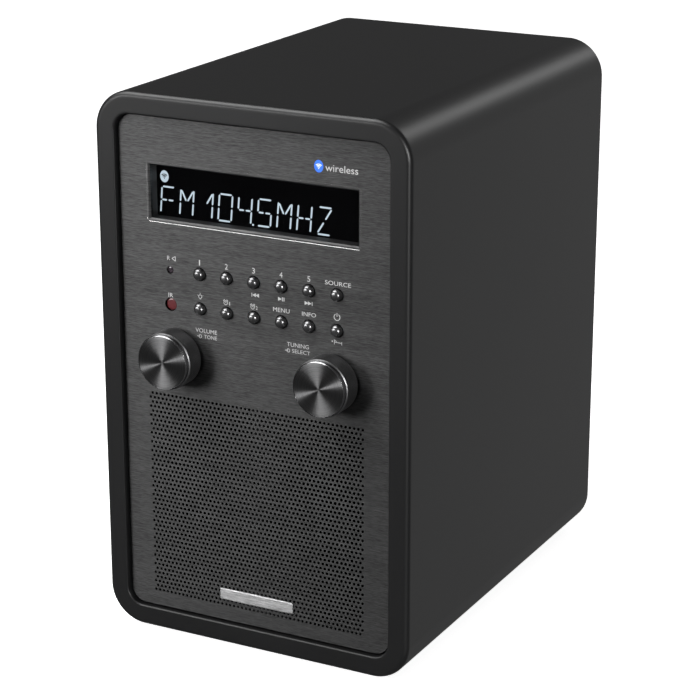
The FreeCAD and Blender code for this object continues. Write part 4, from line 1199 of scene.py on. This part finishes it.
def drawSegment(sheet, start, end, stroke, gap):
    start = Vector(start)
    end = Vector(end)
    along = (end - start).normalized()
    side = Vector((-along.y, along.x)) * stroke / 2
    first = start + along * gap
    last = end - along * gap
    bevel = along * stroke / 2
    corners = [first, first + bevel - side, last - bevel - side]
    corners += [last, last - bevel + side, first + bevel + side]
    bottom = drop(display["bottomDrop"])
    sheet.polygon([(corner.x + (corner.y - bottom) * display["lean"], corner.y) for corner in corners])


def makeReading():
    sheet = Printing()
    bottom = drop(display["bottomDrop"])
    stroke = display["stroke"]
    wide = display["width"] - stroke
    tall = display["height"] - stroke
    for index, sign in enumerate(display["reading"]):
        left = display["left"] + index * display["pitch"] + stroke / 2
        for segment in segmentsOf[sign[0]]:
            ends = segmentEnds[segment]
            start, end = [(left + x * wide, bottom + stroke / 2 + z * tall) for x, z in ends]
            gap = display["slantedGap" if segment in slanted else "gap"]
            drawSegment(sheet, start, end, stroke, gap)
        if sign.endswith("."):
            x = left + wide + display["pointShift"]
            sheet.disc(x, bottom + display["pointRise"], display["pointRadius"], 1.0, 14)
    y = glassY - display["lift"]
    sheet.piece("displayReading", y, litInk, "display_dark", thickness=display["thickness"])


makeReading()
makeRoundel(displayIcon, glassY - display["lift"], "display_dark")
print("display made")


# the bright cut edge round the display window
cutEdge = {
    "corner": 0.35 * mm,
    "steps": 4,
    "lensLap": 3 * mm,
    # mm out from the opening and mm back from the panel
    "profile": ((0.7, -0.03), (0.63, -0.03), (0, 0.5), (0, 1.3), (0.1, 1.3), (0.665, 0.25)),
}


def makeWindowEdge():
    lens = sizeOf("display_lens")
    loops = []
    for out, deep in cutEdge["profile"]:
        out *= mm
        width = lens.x - cutEdge["lensLap"] + 2 * out
        height = lens.z - cutEdge["lensLap"] + 2 * out
        corner = cutEdge["corner"] + out
        loops.append(loopAt(windowMiddle, panelY + deep * mm, width, height, corner, cutEdge["steps"]))
    edge = makePiece("windowCutEdge", stitched(loops, True), polishedCut(), smooth=False)


makeWindowEdge()


# lamp, infrared window and badge
lamp = {"dome": 0.35 * mm, "steps": 8, "segments": 32}
infrared = {
    "flange": 0.9 * mm,
    "segments": 40,
    # radius and height of the front, in mm
    "front": ((2.2, -0.3), (1.9, -0.05), (1.32, -0.02), (0, 0)),
}
badge = {"chamfer": 0.16 * mm, "corner": 0.5 * mm, "hold": 0.45 * mm, "closing": 0.9, "steps": 5}


def makeLamp():
    size = sizeOf("status_lamp")
    middle = middleOf("status_lamp")
    radius = size.x / 2
    dome = lamp["dome"]
    outline = [(0, -size.y), (radius, -size.y), (radius, -dome)]
    for step in range(1, lamp["steps"] + 1):
        angle = math.pi / 2 * step / lamp["steps"]
        outline.append((radius * math.cos(angle), -dome + dome * math.sin(angle)))
    spot = (middle.x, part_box("status_lamp")[0][1], middle.z)
    glass = finishes["lamp_lens"]
    lens = turnedPiece("statusLampLens", outline, glass, spot, cabinet, lamp["segments"], ("status_lamp",))


def makeInfraredWindow():
    size = sizeOf("infrared_window")
    middle = middleOf("infrared_window")
    outer = size.x / 2
    shelf = infrared["flange"] - size.y
    outline = [(0, -size.y), (outer, -size.y), (outer, shelf), (infrared["front"][0][0] * mm, shelf)]
    outline += [(radius * mm, height * mm) for radius, height in infrared["front"]]
    spot = (middle.x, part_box("infrared_window")[0][1], middle.z)
    red = finishes["infrared_red"]
    stands = ("infrared_window",)
    lens = turnedPiece("infraredWindow", outline, red, spot, cabinet, infrared["segments"], stands)


def makeBadge():
    size = sizeOf("badge_bar")
    middle = middleOf("badge_bar")
    chamfer = badge["chamfer"]
    loops = []
    for inset, rise in ((0, 0), (0, chamfer - size.y), (chamfer, -size.y), (badge["hold"], -size.y)):
        corner = badge["corner"] - inset * badge["closing"]
        width = size.x - 2 * inset
        loops.append(loopAt(middle, panelY + rise, width, size.z - 2 * inset, corner, badge["steps"]))
    vertices, faces = stitched(loops, False)
    count = len(loops[0])
    faces.append([len(vertices) - count + index for index in range(count)])
    faces.append(list(range(count))[::-1])
    bar = makePiece("badgeBar", (vertices, faces), finishes["silver_badge"])
    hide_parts("badge_bar")


makeLamp()
makeInfraredWindow()
makeBadge()
print("lamp, infrared window and badge made")


# legends at the rear sockets
rearLegend = {
    "height": 1.7 * mm,
    "above": 3.0 * mm,
    "fromEnd": 4 * mm,
    # socket, which end of it, words, width in mm
    "words": (
        ("audio_jacks", -1, "AUX IN", 8.0),
        ("audio_jacks", 1, "PHONES", 9.5),
        ("power_inlet", 0, "DC IN", 7.0),
        ("aerial_socket", 0, "AERIAL", 9.0),
    ),
}


def makeRearLegends():
    sheet = Printing()
    for node, end, words, width in rearLegend["words"]:
        x = middleOf(node).x + end * (sizeOf(node).x / 2 - rearLegend["fromEnd"])
        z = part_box(node)[1][2] + rearLegend["above"]
        sheet.text(words, -x, z, rearLegend["height"], width * mm)
    sheet.piece("rearLegends", rearY + ink["lift"], legendInk, "white_diffuser", rear=True)


makeRearLegends()
print("rear legends made")


# floor, light and camera
studio = {
    "lens": 118.29,
    "sensor": 36.0,
    "nearest": 0.01,
    "azimuth": 27.7,
    "elevation": 18.05,
    "distance": 0.8345,
    "aim": (-0.0023, -0.0035, 0.0887),
    "floorHalf": 6,
    "floor": (0.9, 0.9, 0.9, 1),
    "floorRoughness": 0.9,
    "floorGlow": 0.82,
    "white": (1.0, 1.0, 1.0, 1),
    "ambient": 0.1,
    "glow": 0.36,
    "glowAxis": (0.47, 0.88, 0.0),
    "glowFrom": 0.55,
    "glowTo": 1.0,
    "lightsAim": (0, 0, 0.09),
    # name, place, width, height, power
    "softboxes": (
        ("topSoftbox", (-0.53, -0.35, 1.1), 0.8, 0.8, 14),
        ("rightSoftbox", (1.0, -1.3, 0.3), 0.22, 0.3, 15),
        ("leftSoftbox", (-0.8, -1.08, 0.36), 0.6, 0.5, 7),
        ("rimSoftbox", (0.42, 1.1, 0.75), 0.35, 0.35, 1.2),
    ),
}


def aimed(thing, target):
    thing.rotation_euler = (Vector(target) - thing.location).to_track_quat("-Z", "Y").to_euler()


def makeSoftbox(name, place, width, height, power):
    data = bpy.data.lights.new(name, "AREA")
    data.shape = "RECTANGLE"
    data.size = width
    data.size_y = height
    data.energy = power
    light = bpy.data.objects.new(name, data)
    scene.collection.objects.link(light)
    light.location = place
    aimed(light, studio["lightsAim"])


def makeFloor():
    # bright to the camera, and neither mirrored in the radio nor shading it
    floorFinish = Finish(
        "paleFloor",
        Base_Color=studio["floor"],
        Roughness=studio["floorRoughness"],
        Specular_IOR_Level=0.0,
        Emission_Color=studio["white"],
        Emission_Strength=studio["floorGlow"],
    )
    half = studio["floorHalf"]
    mesh = bpy.data.meshes.new("paleFloor")
    corners = [(-half, -half, 0), (half, -half, 0), (half, half, 0), (-half, half, 0)]
    mesh.from_pydata(corners, [], [(0, 1, 2, 3)])
    floor = dressed(mesh, floorFinish.material)
    floor.visible_glossy = False
    floor.visible_shadow = False


def makeWorld():
    # white to the camera; to everything else dim, with a glow from behind on the right
    world = bpy.data.worlds.new("studioWorld")
    scene.world = world
    world.use_nodes = True
    world.node_tree.nodes.clear()
    sky = Nodes(world.node_tree)
    spot = sky.node("ShaderNodeTexCoord", output="Generated")
    product = {"operation": "DOT_PRODUCT"}
    along = sky.node("ShaderNodeVectorMath", product, {0: spot, 1: studio["glowAxis"]}, "Value")
    reach = {
        "Value": along,
        "From Min": studio["glowFrom"],
        "From Max": studio["glowTo"],
        "To Min": studio["ambient"],
        "To Max": studio["glow"],
    }
    smooth = {"interpolation_type": "SMOOTHSTEP"}
    strength = sky.node("ShaderNodeMapRange", smooth, reach, "Result")
    fromCamera = sky.node("ShaderNodeLightPath", output="Is Camera Ray")
    lit = sky.node("ShaderNodeBackground", None, {0: studio["white"], 1: strength})
    seen = sky.node("ShaderNodeBackground", None, {0: studio["white"]})
    mix = sky.node("ShaderNodeMixShader", None, {0: fromCamera, 1: lit, 2: seen})
    out = sky.tree.nodes.new("ShaderNodeOutputWorld")
    join(sky.tree, mix, out.inputs[0])


def makeCamera():
    camera = bpy.data.objects.new("camera", bpy.data.cameras.new("camera"))
    scene.collection.objects.link(camera)
    camera.data.lens = studio["lens"]
    camera.data.sensor_width = studio["sensor"]
    camera.data.clip_start = studio["nearest"]
    turn = math.radians(studio["azimuth"])
    rise = math.radians(studio["elevation"])
    back = Vector((math.sin(turn) * math.cos(rise), -math.cos(turn) * math.cos(rise), math.sin(rise)))
    camera.location = Vector(studio["aim"]) + back * studio["distance"]
    aimed(camera, studio["aim"])
    scene.camera = camera


makeFloor()
makeWorld()
for box in studio["softboxes"]:
    makeSoftbox(*box)
makeCamera()
scene.view_settings.view_transform = "Standard"
print("studio made")
